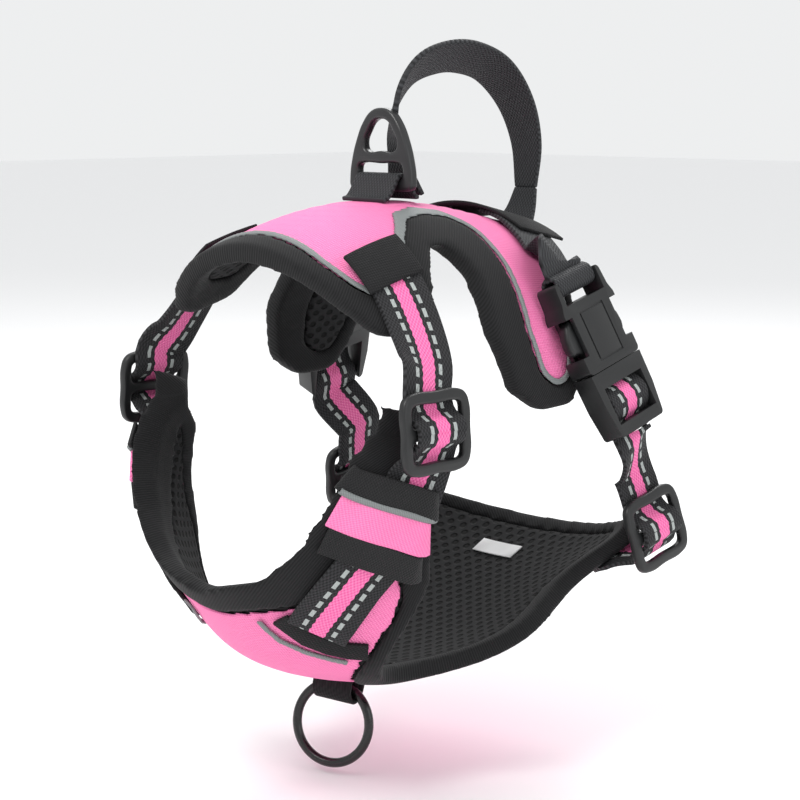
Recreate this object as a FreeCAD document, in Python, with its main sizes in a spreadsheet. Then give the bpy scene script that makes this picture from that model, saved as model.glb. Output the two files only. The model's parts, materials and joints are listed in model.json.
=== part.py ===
import FreeCAD, Part
import math
import os
import Sketcher

# A padded dog harness with a leash ring on the back and one on the chest, shown at the size it
# takes on the dog.  The dog's head is towards -Y, its left side is +X and up is +Z.  The origin
# is the middle of the dog's chest.  Soft pieces are plain closed solids; plastic and metal
# pieces are made as they are moulded.

Vector = FreeCAD.Vector
doc = FreeCAD.newDocument("Harness")
sheet = doc.addObject("Spreadsheet::Sheet", "Sizes")

SIZES = [
    # back panel: a saddle of half ellipses along the spine
    ("BackHalfWidth", 76.0), ("BackRise", 85.0), ("BackTop", 86.5), ("BackFrontDrop", 16.0),
    ("BackRearDrop", 19.0), ("BackTopAt", -15.0), ("BackFrontRun", 73.0), ("BackRearRun", 99.0),
    ("BackFront", -92.0), ("BackRear", 90.0), ("OutlineRound", 9.0),
    # chest and belly panel: a curved shield swept about a crosswise line
    ("ChestHalfWidth", 84.0), ("ChestReach", 113.0), ("ChestAxisBack", -10.0), ("ChestAxisUp", -10.0),
    ("LobeTopAngle", -20.0), ("BellyEndAngle", 151.0), ("ChestBinding", 11.0), ("BindingInside", 7.5),
    # fabric layers
    ("CoverThick", 1.6), ("PadThick", 6.0), ("BindingProud", 1.0), ("PipingProud", 1.2), ("PipingWidth", 2.6),
    ("PatchThick", 1.4), ("BorderWidth", 8.5), ("LayerGap", 0.3),
    # webbing
    ("WebWidth", 25.0), ("WebThick", 1.8), ("KeeperThick", 1.6), ("KeeperLift", 0.5),
    ("HandleWidth", 20.0), ("HandleThick", 2.4), ("HandlePinch", 9.0),
    # three-bar slider
    ("SliderWidth", 35.4), ("SliderHeight", 31.0), ("SliderThick", 3.4),
    ("SliderBar", 4.6), ("SliderSide", 4.3),
    ("SliderRound", 4.0), ("SliderEdge", 0.8),
    # side release buckle
    ("BuckleWidth", 36.0), ("BuckleThick", 10.5), ("SocketLength", 40.0), ("PlugLength", 28.0),
    ("SocketWall", 2.0), ("CavityDepth", 28.0), ("SlotHeight", 6.5), ("SlotWidth", 27.0), ("SlotBar", 3.6),
    ("BarThick", 5.0), ("WindowFrom", 8.0), ("WindowLength", 17.0), ("WindowDepth", 4.4), ("SeamGap", 0.3),
    ("PlugBar", 5.0), ("PlugShoulder", 7.0), ("GuideWidth", 5.0), ("GuideLength", 20.0), ("ArmWidth", 3.0),
    ("ArmLength", 25.0), ("ArmThick", 5.4), ("ArmRun", 11.0), ("ButtonReach", 18.9), ("ButtonLength", 14.0),
    ("BuckleOff", 10.5), ("BuckleLean", 21.6), ("BuckleRake", 14.8), ("BuckleRound", 2.2),
    ("PanelWidth", 17.0), ("PanelLength", 22.0), ("PanelLine", 0.9), ("PanelDepth", 0.5),
    # leash ring
    ("RingFoot", 37.0), ("RingHead", 21.0), ("RingHeight", 34.0), ("RingPlate", 4.5), ("RingBar", 4.4),
    ("RingSlot", 6.6), ("RingCross", 5.4), ("RingSide", 4.6), ("RingLift", 6.2), ("RingAt", -10.0),
    # chest ring
    ("ORing", 34.0), ("OWire", 4.0), ("ORingAngle", 76.0), ("ORingYaw", 20.0), ("ORingLean", 10.0),
    ("LoopWidth", 18.0), ("LoopClear", 5.5), ("LoopLift", 5.0),
]

for row, (name, value) in enumerate(SIZES, start=1):
    sheet.set("A%d" % row, name)
    sheet.set("B%d" % row, str(value))
    sheet.setAlias("B%d" % row, name)
doc.recompute()


def size(name):
    return float(sheet.get(name))


NODES = []


def soft(label, shape):
    """Add a shape worked out by formula, as a document object of its own."""
    solid = shape.Solids[0] if len(shape.Solids) == 1 else shape
    piece = doc.addObject("Part::Feature", label)
    piece.Shape = solid
    piece.Label = label
    NODES.append(piece)
    return piece


def mirrored(shape):
    return shape.mirror(Vector(0, 0, 0), Vector(1, 0, 0))


def pair(name, shape):
    """Left piece, and its mirror image on the right."""
    soft(name + "_left", shape)
    soft(name + "_right", mirrored(shape))


# ---------------------------------------------------------------- back panel surface

def back_top(y):
    """Height of the spine line of the saddle at station y."""
    run = y - size("BackTopAt")
    if run < 0:
        return size("BackTop") - size("BackFrontDrop") * (run / size("BackFrontRun")) ** 2
    return size("BackTop") - size("BackRearDrop") * (run / size("BackRearRun")) ** 1.5


def back_point(phi, y, off):
    """Point on the saddle, phi degrees from the spine and off millimetres outside the cover."""
    angle = math.radians(phi)
    across = (size("BackHalfWidth") + off) * math.sin(angle)
    up = back_top(y) - size("BackRise") + (size("BackRise") + off) * math.cos(angle)
    return Vector(across, y, up)


def spline(points):
    curve = Part.BSplineCurve()
    curve.interpolate(points)
    return curve.toShape()


def ribbon_wire(outer, inner):
    """Closed wire through an outer row of points and back along an inner row."""
    inner = inner[::-1]
    ends = Part.LineSegment(outer[-1], inner[0]).toShape(), Part.LineSegment(inner[-1], outer[0]).toShape()
    return Part.Wire([spline(outer), ends[0], spline(inner), ends[1]])


def steps(first, last, count):
    return [first + (last - first) * i / (count - 1) for i in range(count)]


BACK_LIMIT = 90.0


def back_layer(low, high, first=None, last=None, phi=(-BACK_LIMIT, BACK_LIMIT)):
    """Layer of the saddle between two offsets from the cover's face."""
    first = size("BackFront") if first is None else first
    last = size("BackRear") if last is None else last
    wires = []
    for y in steps(first, last, 7):
        outer = [back_point(a, y, high) for a in steps(phi[0], phi[1], 11)]
        inner = [back_point(a, y, low) for a in steps(phi[0], phi[1], 11)]
        wires.append(ribbon_wire(outer, inner))
    return Part.makeLoft(wires, True, False)


def rounded_outline(points, radius, place):
    """Closed wire with an arc at each corner; place turns (a, b) into a 3-D point."""
    count = len(points)
    edges = []
    ends = []
    for i in range(count):
        before = Vector(*points[i - 1], 0)
        here = Vector(*points[i], 0)
        after = Vector(*points[(i + 1) % count], 0)
        back = (before - here).normalize()
        on = (after - here).normalize()
        turn = math.pi - back.getAngle(on)
        room = 0.45 * min((before - here).Length, (after - here).Length)
        cut = min(radius * math.tan(turn / 2), room)
        start = here + back * cut
        stop = here + on * cut
        bend = cut / math.tan(turn / 2)
        centre = here + (back + on).normalize() * math.hypot(cut, bend)
        middle = centre + (here - centre).normalize() * bend
        ends.append((place(start.x, start.y), place(middle.x, middle.y), place(stop.x, stop.y)))
    for i in range(count):
        start, middle, stop = ends[i]
        edges.append(Part.Arc(start, middle, stop).toShape())
        edges.append(Part.LineSegment(stop, ends[(i + 1) % count][0]).toShape())
    return Part.Wire(edges)


PRISM_HALF = 160.0


def side_prism(points):
    """Prism across the whole harness from an outline seen from the side, as (y, z) points."""
    wire = rounded_outline(points, size("OutlineRound"), lambda y, z: Vector(-PRISM_HALF, y, z))
    return Part.Face(wire).extrude(Vector(2 * PRISM_HALF, 0, 0))


# The two outlines in side view: front edge, front lobe, leg notch, wing and rear edge.
EDGE_OUTLINE = [
    (-88, 110), (-88, 66), (-80, 50), (-70, 37), (-46, 44), (-36, 60), (-27, 71), (-17, 69),
    (-13, 58), (-16, 36), (-9, 12), (6, 3), (24, 4), (33, 14), (41, 42), (50, 61), (64, 68), (82, 66),
    (82, 110),
]
PIPING_OUTLINE = [
    (-78, 110), (-78, 66), (-74, 58), (-68, 53), (-52, 54), (-38, 73), (-27, 80), (-14, 81.5), (-2, 80),
    (6, 75), (7, 62), (3, 36), (6, 18), (15, 12), (24, 15), (31, 34), (40, 58), (52, 67), (70, 72), (70, 110),
]

edge_prism = side_prism(EDGE_OUTLINE)
piping_prism = side_prism(PIPING_OUTLINE)


def shrunk(points, amount):
    """Outline moved inwards, for the inner side of the piping."""
    flat = Part.Wire(Part.makePolygon([Vector(y, z, 0) for y, z in points] + [Vector(*points[0], 0)]))
    inner = flat.makeOffset2D(-amount, 2)
    return [(v.X, v.Y) for v in inner.OrderedVertexes]


inside_piping_prism = side_prism(shrunk(PIPING_OUTLINE, size("PipingWidth")))

cover_thick = size("CoverThick")
pad_under = -cover_thick - size("PadThick")
binding_low = pad_under - size("LayerGap")

soft("back_cover", back_layer(-cover_thick, 0).common(piping_prism))
soft("back_lining", back_layer(pad_under, -cover_thick).common(piping_prism))
back_rim = edge_prism.cut(piping_prism)
left_half = Part.makeBox(PRISM_HALF, 2 * PRISM_HALF, 2 * PRISM_HALF, Vector(0, -PRISM_HALF, -PRISM_HALF))
pair("back_binding", back_layer(binding_low, size("BindingProud")).common(back_rim).common(left_half))
piping_ring = piping_prism.cut(inside_piping_prism)
soft("back_piping", back_layer(0, size("PipingProud")).common(piping_ring))

# ---------------------------------------------------------------- chest and belly surface

# Sections of the shield, swept from the shoulders down and back: angle from straight ahead,
# half width and reach as shares of the two driving sizes, and how far round the panel goes.
CHEST_SECTIONS = [
    (-20, 1.00, 1.14, 65), (0, 1.00, 1.12, 69), (15, 1.02, 1.08, 67), (37, 1.08, 1.00, 57),
    (48, 1.13, 1.01, 49), (57, 1.28, 1.00, 31), (68, 1.52, 0.965, 19), (80, 1.55, 0.93, 18.5),
    (93, 1.55, 0.90, 27), (119, 1.45, 0.87, 33), (137, 1.42, 0.93, 39), (151, 1.38, 1.03, 44),
]


def blend_between(angle, column):
    rows = CHEST_SECTIONS
    if angle <= rows[0][0]:
        return rows[0][column]
    for low, high in zip(rows, rows[1:]):
        if angle <= high[0]:
            share = (angle - low[0]) / (high[0] - low[0])
            return low[column] + (high[column] - low[column]) * share
    return rows[-1][column]


def chest_point(angle, spread, off):
    """Point on the shield: angle down from straight ahead, spread degrees to the side."""
    across = (size("ChestHalfWidth") * blend_between(angle, 1) + off) * math.sin(math.radians(spread))
    out = (size("ChestReach") * blend_between(angle, 2) + off) * math.cos(math.radians(spread))
    turn = math.radians(angle)
    back = size("ChestAxisBack") - out * math.cos(turn)
    return Vector(across, back, size("ChestAxisUp") - out * math.sin(turn))


def chest_layer(low, high, rim=0.0):
    """Layer of the shield between two offsets, its edges drawn in by rim millimetres."""
    draw_in = math.degrees(rim / size("ChestHalfWidth"))
    ends = size("LobeTopAngle") + draw_in, size("BellyEndAngle") - draw_in / 1.4
    inside = [row[0] for row in CHEST_SECTIONS if ends[0] + 4 < row[0] < ends[1] - 4]
    wires = []
    for angle in [ends[0]] + inside + [ends[1]]:
        reach = blend_between(angle, 3) - draw_in
        sides = steps(-reach, reach, 13)
        outer = [chest_point(angle, s, high) for s in sides]
        inner = [chest_point(angle, s, low) for s in sides]
        wires.append(ribbon_wire(outer, inner))
    return Part.makeLoft(wires, True, False)


def neck_prism(grow):
    """Prism along the spine for the neckline, its outline seen from the front as (x, z) points."""
    half = [(0, -63), (32, -55), (50, -40), (61, -20), (65, 0), (69, 16), (72, 60)]
    side = [(x + grow * min(1, x / 45.0), z - grow * max(0.0, 1 - max(0, z + 45) / 45.0)) for x, z in half]
    outline = side + [(-x, z) for x, z in side[:0:-1]]
    front = size("ChestAxisBack") - 2 * size("ChestReach")
    wire = rounded_outline(outline, 3 * size("OutlineRound"), lambda x, z: Vector(x, front, z))
    return Part.Face(wire).extrude(Vector(0, 2 * size("ChestReach"), 0))


chest_thick = cover_thick
chest_under = -chest_thick - size("PadThick") * 0.8
rim = size("ChestBinding")
core = chest_layer(chest_under - 12, 14, rim).cut(neck_prism(rim))
soft("chest_cover", chest_layer(-chest_thick, 0).common(core))
inside = size("BindingInside")
inner_core = chest_layer(chest_under - 12, 14, inside).cut(neck_prism(inside))
chest_lining = chest_layer(chest_under, -chest_thick - 0.05).common(inner_core)
soft("chest_lining", chest_lining)
chest_rim = chest_layer(chest_under - size("LayerGap"), size("BindingProud"))
chest_rim = chest_rim.cut(neck_prism(0)).cut(core).cut(chest_lining)
pair("chest_binding", chest_rim.common(left_half))


TWIST_STEP = 5.0


def eased(stations):
    """Add stations between those that turn a lot, so that a twist is spread out."""
    out = [stations[0]]
    for before, after in zip(stations, stations[1:]):
        turn = math.degrees(Vector(before[1]).getAngle(Vector(after[1])))
        count = max(1, math.ceil(turn / TWIST_STEP))
        for i in range(1, count + 1):
            share = i / count
            mixed = [Vector(a) * (1 - share) + Vector(b) * share for a, b in zip(before[:3], after[:3])]
            out.append((mixed[0], mixed[1], mixed[2], before[3] * (1 - share) + after[3] * share))
    return out


def webbing(stations, thick):
    """Flat band through stations of (centre, width direction, face direction, width)."""
    wires = []
    for centre, across, face, width in eased(stations):
        side = Vector(across).normalize() * (width / 2)
        lift = Vector(face).normalize() * (thick / 2)
        corners = [centre - side - lift, centre + side - lift, centre + side + lift, centre - side + lift]
        wires.append(Part.makePolygon(corners + corners[:1]))
    return Part.makeLoft(wires, True, True)


def on_path(rows, width):
    """Stations square to a path of (centre, rough face direction) pairs."""
    out = []
    for i, (centre, face) in enumerate(rows):
        along = rows[min(i + 1, len(rows) - 1)][0] - rows[max(i - 1, 0)][0]
        along.normalize()
        across = along.cross(face).normalize()
        out.append((centre, across, across.cross(along), width))
    return out


def face_of(surface, a, b):
    """Outward normal of a panel surface at the place (a, b)."""
    along_a = surface(a + 0.5, b, 0) - surface(a - 0.5, b, 0)
    along_b = surface(a, b + 0.5, 0) - surface(a, b - 0.5, 0)
    normal = along_a.cross(along_b).normalize()
    outward = surface(a, b, 1) - surface(a, b, 0)
    return normal if normal.dot(outward) > 0 else normal * -1


def on_panel(surface, rows):
    """Centre and face direction at each (a, b, offset) of a panel surface."""
    return [(surface(a, b, off), face_of(surface, a, b)) for a, b, off in rows]


web = size("WebWidth")
thick = size("WebThick")
gap = size("LayerGap")
over_binding = size("BindingProud") + gap + thick / 2
on_cover = gap + thick / 2


class Frame:
    """Right-handed frame of a plastic piece: across its width, up its webbing, out of its face."""

    def __init__(self, origin, up):
        self.origin = origin
        self.up = Vector(up).normalize()
        level = Vector(0, 1, 0)
        self.across = (level - self.up * level.dot(self.up)).normalize()
        self.out = self.across.cross(self.up)

    def at(self, across, up, out):
        return self.origin + self.across * across + self.up * up + self.out * out

    def placement(self):
        turn = FreeCAD.Rotation(self.across, self.up, self.out, "XYZ")
        return FreeCAD.Placement(self.origin, turn)

    def mirrored_placement(self):
        across = Vector(self.across.x, -self.across.y, -self.across.z)
        up = Vector(-self.up.x, self.up.y, self.up.z)
        out = across.cross(up)
        turn = FreeCAD.Rotation(across, up, out, "XYZ")
        return FreeCAD.Placement(Vector(-self.origin.x, self.origin.y, self.origin.z), turn)

    def stations(self, rows, width):
        """Stations for a band given as (up, out) pairs in this frame."""
        return on_path([(self.at(0, up, out), self.out) for up, out in rows], width)


neck = Frame(chest_point(-14.7, 65, 9.5), Vector(-0.06, 0, 1))
corner = chest_point(143, 38, over_binding)
girth = Frame(corner + Vector(18, 0, 12), Vector(-0.188, -0.199, 0.962))
lean = math.tan(math.radians(size("BuckleLean")))
rake = math.tan(math.radians(size("BuckleRake")))
buckle_up = Vector(-lean, -rake, 1).normalize()
buckle_top = back_point(51.7, 29, size("BuckleOff"))
buckle = Frame(buckle_top - buckle_up * size("SocketLength"), buckle_up)

# ---------------------------------------------------------------- webbing at the neck

behind = -(size("SliderThick") / 2 + gap + thick / 2)
front = -behind
bar_top = size("SliderHeight") / 2
clear = bar_top + 1.0
tuck = bar_top - size("SliderBar") - 1.4
bight_end = tuck - 0.4


def bight(frame, label):
    rows = [(bight_end, behind), (5.6, 0.0), (2.6, front), (-2.6, front), (-5.6, 0.0), (-bight_end, behind)]
    pair(label, webbing(frame.stations(rows, web), thick))


neck_line = [(38, -57, over_binding), (47, -57.5, over_binding), (56, -58, over_binding + 0.4)]
neck_rows = on_panel(back_point, neck_line) + [(neck.at(5, 26, -8), face_of(back_point, 72, -60))]
neck_run = on_path(neck_rows, web) + neck.stations([(clear, behind), (tuck, behind)], web)
pair("neck_strap", webbing(neck_run, thick))
bight(neck, "neck_bight")

lobe_line = [(7, 62), (12, 60), (22, 53), (31, 41), (40.2, 27.5)]
lobe_rows = on_panel(chest_point, [(a, s, over_binding) for a, s in lobe_line])
lobe_run = neck.stations([(-tuck, behind), (-clear, behind)], web) + on_path(lobe_rows, web)
pair("lobe_strap", webbing(lobe_run, thick))

keeper = size("KeeperThick")
keeper_low = size("BindingProud") + gap + keeper / 2
keeper_high = over_binding + thick / 2 + gap + keeper / 2 + size("KeeperLift")

# Each band crosses its lobe: its height, and its stations as (angle, spread, over the strap).
KEEPERS = [
    ("upper_keeper", 11.0,
     [(0.5, 49, 0), (2.5, 50.5, 0), (6, 56, 1), (11, 61, 1), (15.5, 64, 1), (17, 65, 0)]),
    ("lobe_window", 11.4,
     [(9, 45.5, 0), (10.5, 47, 0), (14.5, 51.5, 1), (20, 56, 1), (26, 59, 1), (27.5, 60, 0)]),
    ("lower_keeper", 11.0,
     [(16, 41.5, 0), (17.5, 43, 0), (21.5, 47, 1), (28, 51, 1), (34.5, 53.6, 1), (36, 54.6, 0)]),
]


def keeper_band(height, line):
    rows = [(angle, spread, keeper_high if raised else keeper_low) for angle, spread, raised in line]
    return webbing(on_path(on_panel(chest_point, rows), height), keeper)


for name, height, line in KEEPERS:
    pair(name, keeper_band(height, line))

# ---------------------------------------------------------------- webbing at the girth

web_line = [(8, 52, over_binding), (20, 47, over_binding), (31, 42, over_binding)]
web_line += [(41, 37, over_binding + 1.0)]
loop_wall = thick
loop_low = size("SocketLength") - size("SlotBar") - gap - loop_wall
loop_high = size("SocketLength") + gap + loop_wall
web_run = on_path(on_panel(back_point, web_line), web)
web_run += buckle.stations([(loop_high + 6, 0.0), (loop_high + gap, 0.0)], web)
pair("girth_web", webbing(web_run, thick))


def loop_ring():
    half = size("BarThick") / 2 + gap
    corner = Vector(-web / 2, loop_low, -half - loop_wall)
    outer = Part.makeBox(web, loop_high - loop_low, 2 * (half + loop_wall), corner)
    inner = Part.makeBox(web, loop_high - loop_low - 2 * loop_wall, 2 * half,
                         Vector(-web / 2, loop_low + loop_wall, -half))
    ring = outer.cut(inner)
    ring.Placement = buckle.placement()
    return ring


pair("girth_loop", loop_ring())

plug_end = -size("PlugLength")
plug_back = -2.6
plug_rows = [(-size("PlugShoulder") - 0.8, 0.3), (-12.0, 2.6), (-17.0, 2.6), (-21.5, plug_back),
             (plug_end - 1.5, plug_back)]
pair("plug_web", webbing(buckle.stations(plug_rows, web), thick))
strap_run = buckle.stations([(plug_end - 1.8, plug_back), (plug_end - 5, plug_back)], web)
strap_run = strap_run + girth.stations([(clear + 4, behind), (clear, behind), (tuck, behind)], web)
pair("girth_strap", webbing(strap_run, thick))
bight(girth, "girth_bight")
tab = [
    (girth.at(0, -tuck, behind), girth.across, girth.out, web),
    (girth.at(0, -tuck - 1, behind - 4), girth.across, girth.up * -1, web),
    (corner, girth.across, face_of(chest_point, 143, 38), web),
    (chest_point(143, 33, over_binding), girth.across, face_of(chest_point, 143, 33), web),
]
pair("belly_tab", webbing(tab, thick))

# ---------------------------------------------------------------- patches on the cover

patch_low = over_binding + thick / 2 + gap
soft("rear_patch", back_layer(patch_low, patch_low + size("PatchThick"), 36, 64, (-27, 27)))
for name, phi in (("front_patch_left", (31, 45)), ("front_patch_right", (-45, -31))):
    soft(name, back_layer(patch_low, patch_low + size("PatchThick"), -72, -44, phi))

# ---------------------------------------------------------------- leash ring and its webbing

ring_y = size("RingAt")
ring_axis = back_point(0, ring_y, size("RingLift"))


def spine_stations(rows, width):
    """Stations in the middle plane from (y, z) pairs."""
    return on_path([(Vector(0, y, z), Vector(0, 0.05, 1)) for y, z in rows], width)


bar_clear = size("RingBar") / 2 + gap + thick / 2
foot = back_point(0, ring_y, on_cover).z
over_bar = ring_axis.z + bar_clear + 0.1
beside_bar = size("RingPlate") / 2 + gap + thick
tent = [(ring_y - 12, foot - 0.6), (ring_y - 9, foot), (ring_y - beside_bar, ring_axis.z + 1.2),
        (ring_y - beside_bar + 1.4, over_bar), (ring_y + beside_bar - 1.4, over_bar),
        (ring_y + beside_bar, ring_axis.z + 1.2), (ring_y + 7, foot + 0.1), (ring_y + 9, foot)]
soft("ring_webbing", webbing(spine_stations(tent, web), thick))

# ---------------------------------------------------------------- top handle

hinge_front = Vector(0, -2, 104)
hinge_rear = Vector(0, 80.5, 88)
HANDLE_LINE = [(-2, 104.4), (-4, 116), (-1, 129), (9, 140), (24, 145.2), (40, 145.8), (58, 140.4),
               (73, 126), (81.5, 108), (80.6, 88.4)]


def handle_band():
    curve = Part.BSplineCurve()
    curve.interpolate([Vector(0, y, z) for y, z in HANDLE_LINE])
    points = curve.discretize(Number=34)
    total = curve.length()
    rows = []
    run = 0.0
    for i, point in enumerate(points):
        run += (point - points[i - 1]).Length if i else 0.0
        nearest = min(run, total - run)
        width = size("HandlePinch") + (size("HandleWidth") - size("HandlePinch")) * min(1.0, nearest / 16.0)
        ahead = points[min(i + 1, len(points) - 1)] - points[max(i - 1, 0)]
        across = Vector(1, 0, 0)
        rows.append((point, across, ahead.normalize().cross(across), width))
    return webbing(rows, size("HandleThick"))


soft("handle", handle_band())


def handle_tab(label, foot_at, top_at):
    along = top_at - foot_at
    face = Vector(along).cross(Vector(1, 0, 0))
    foot = (foot_at, Vector(1, 0, 0), face, size("HandleWidth"))
    rows = [foot, (top_at, Vector(1, 0, 0), face, size("HandlePinch"))]
    soft(label, webbing(rows, size("HandleThick")))


handle_tab("handle_tab_front", back_point(0, 4, 0.9), hinge_front + Vector(0, 0.2, -0.3))
handle_tab("handle_tab_rear", back_point(0, 73.5, over_binding + 0.6), hinge_rear + Vector(0, -0.1, -0.3))

# ---------------------------------------------------------------- chest ring and its loop

loop_centre = chest_point(size("ORingAngle"), 0, size("LoopLift"))


def chest_loop():
    wide = size("LoopWidth")
    inner_r = size("LoopClear")
    outer_r = inner_r + thick
    top = size("LoopLift") + 3
    start = Vector(-wide / 2, 0, 0)
    axis = Vector(1, 0, 0)
    outer = Part.makeCylinder(outer_r, wide, start, axis)
    outer = outer.fuse(Part.makeBox(wide, 2 * outer_r, top, Vector(-wide / 2, -outer_r, 0)))
    inner = Part.makeCylinder(inner_r, wide, start, axis)
    inner = inner.fuse(Part.makeBox(wide, 2 * inner_r, top + 1, Vector(-wide / 2, -inner_r, 0)))
    above = Part.makeBox(wide, 4 * outer_r, 2 * outer_r, Vector(-wide / 2, -2 * outer_r, top))
    ring = outer.cut(inner).cut(above)
    ring.rotate(Vector(0, 0, 0), Vector(0, 0, 1), size("ORingYaw"))
    ring.rotate(Vector(0, 0, 0), axis, size("ORingAngle") - 90)
    ring.translate(loop_centre)
    return ring.cut(chest_layer(-8, 0))


soft("chest_loop", chest_loop())


def chest_line(rows, width, band_thick, off):
    """Narrow band along the shield through (angle, spread) pairs."""
    return webbing(on_path(on_panel(chest_point, [(a, s, off) for a, s in rows]), width), band_thick)


piping_line = [(35, 14.5), (38, 14.5), (41.5, 16), (46, 20), (50, 23.5), (52.5, 25.5)]
piping_high = gap + size("PipingProud") / 2
chest_piping = chest_line(piping_line, size("PipingWidth"), size("PipingProud"), piping_high)
pair("chest_piping", chest_piping)
border_line = [(35, 20.6), (38, 21.5), (42, 23.2), (46, 26.4), (49, 29.2), (51.5, 31.8)]
border_high = gap + size("PatchThick") / 2
pair("chest_border", chest_line(border_line, size("BorderWidth"), size("PatchThick"), border_high))
label_thick = 0.6
label_off = chest_under - gap - label_thick / 2
soft("care_label", chest_line([(138, -6), (138, -2), (138, 2), (138, 6)], 9.0, label_thick, label_off))

# ---------------------------------------------------------------- moulded pieces: helpers

X_AXIS = Vector(1, 0, 0)


class Term:
    """A length held both as a formula on the sheet and as its present value."""

    def __init__(self, text, value):
        self.text = text
        self.value = value

    def join(self, sign, other, value):
        return Term("(%s %s %s)" % (self.text, sign, other.text), value)

    def __add__(self, other):
        other = term(other)
        return self.join("+", other, self.value + other.value)

    def __sub__(self, other):
        other = term(other)
        return self.join("-", other, self.value - other.value)

    def __mul__(self, other):
        other = term(other)
        return self.join("*", other, self.value * other.value)

    def __truediv__(self, other):
        other = term(other)
        return self.join("/", other, self.value / other.value)

    def __neg__(self):
        return Term("(-1 * %s)" % self.text, -self.value)


def term(item):
    """A size by its name, or a plain number, as a term."""
    if isinstance(item, Term):
        return item
    if isinstance(item, str):
        return Term("Sizes." + item, size(item))
    return Term(str(float(item)), float(item))


def new_body(name, placement):
    body = doc.addObject("PartDesign::Body", name)
    body.Label = name
    body.Placement = placement
    NODES.append(body)
    return body


def plane(body, role):
    return [f for f in body.Origin.OriginFeatures if f.Role == role][0]


def outline_sketch(body, name, points, role="XY_Plane", lift=None):
    """Closed polygon on a plane of the body; each corner is a pair of terms."""
    sketch = body.newObject("Sketcher::SketchObject", name)
    sketch.AttachmentSupport = [(plane(body, role), "")]
    sketch.MapMode = "FlatFace"
    if lift:
        sketch.setExpression("AttachmentOffset.Base.z", lift.text)
    draw_loop(sketch, points)
    return sketch


def draw_loop(sketch, points):
    """Add a closed polygon to a sketch, every corner driven from the sheet."""
    first = sketch.GeometryCount
    corners = [(term(a), term(b)) for a, b in points]
    spots = [Vector(a.value, b.value, 0) for a, b in corners]
    count = len(corners)
    for i in range(count):
        sketch.addGeometry(Part.LineSegment(spots[i], spots[(i + 1) % count]), False)
    for i in range(count):
        sketch.addConstraint(Sketcher.Constraint("Coincident", first + i, 2, first + (i + 1) % count, 1))
    for i in range(count):
        for kind, item in zip(("DistanceX", "DistanceY"), corners[i]):
            key = sketch.addConstraint(Sketcher.Constraint(kind, -1, 1, first + i, 1, item.value))
            label = "Corner%d%s" % (first + i, kind[-1])
            sketch.renameConstraint(key, label)
            sketch.setExpression("Constraints." + label, item.text)


def rectangle(left, right, low, high):
    return [(left, low), (right, low), (right, high), (left, high)]


def both_sides(points):
    """Outline of a piece that is the same on both sides of its middle line."""
    return points + [(-a, b) for a, b in points[::-1]]


def pad(body, sketch, length):
    feature = body.newObject("PartDesign::Pad", sketch.Name + "Pad")
    feature.Profile = sketch
    feature.SideType = "Symmetric"
    feature.setExpression("Length", term(length).text)
    return feature


def pocket(body, sketch, length, both=True, flip=False):
    """Cut a sketch out of the body, and refuse a cut that takes nothing."""
    doc.recompute()
    before = body.Shape.Volume
    feature = body.newObject("PartDesign::Pocket", sketch.Name + "Pocket")
    feature.Profile = sketch
    feature.SideType = "Symmetric" if both else "One side"
    feature.Reversed = flip
    feature.setExpression("Length", term(length).text)
    doc.recompute()
    if body.Shape.Volume > before - 0.5:
        raise ValueError("nothing cut by " + sketch.Name)
    return feature


def fillet(body, base, radius, wanted):
    """Round the edges of a feature that the test picks."""
    doc.recompute()
    names = ["Edge%d" % (i + 1) for i, edge in enumerate(base.Shape.Edges) if wanted(edge)]
    feature = body.newObject("PartDesign::Fillet", base.Name + "Fillet")
    feature.Base = (base, names)
    feature.setExpression("Radius", term(radius).text)
    return feature


def upright(edge):
    """True for an edge square to the piece's face."""
    first, last = edge.Vertexes[0].Point, edge.Vertexes[-1].Point
    return abs(first.x - last.x) < 0.01 and abs(first.y - last.y) < 0.01 and abs(first.z - last.z) > 0.5


def side_placements(frame):
    return (("left", frame.placement()), ("right", frame.mirrored_placement()))


# ---------------------------------------------------------------- three-bar sliders


def slider(name, placement):
    body = new_body(name, placement)
    half = term("SliderWidth") / 2
    top = term("SliderHeight") / 2
    frame = outline_sketch(body, name + "_frame", rectangle(-half, half, -top, top))
    rounded = pad(body, frame, "SliderThick")
    fillet(body, rounded, "SliderRound", upright)
    window = half - "SliderSide"
    low = term("SliderBar") / 2
    high = top - "SliderBar"
    upper = outline_sketch(body, name + "_upper", rectangle(-window, window, low, high))
    pocket(body, upper, term("SliderThick") * 2)
    lower = outline_sketch(body, name + "_lower", rectangle(-window, window, -high, -low))
    last = pocket(body, lower, term("SliderThick") * 2)
    face = size("SliderThick") / 2
    fillet(body, last, "SliderEdge",
           lambda e: abs(e.BoundBox.ZMin - face) < 0.01 and e.BoundBox.ZLength < 0.01)


for side, placement in side_placements(neck):
    slider("neck_slider_" + side, placement)
for side, placement in side_placements(girth):
    slider("girth_slider_" + side, placement)

# ---------------------------------------------------------------- side release buckles


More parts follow.
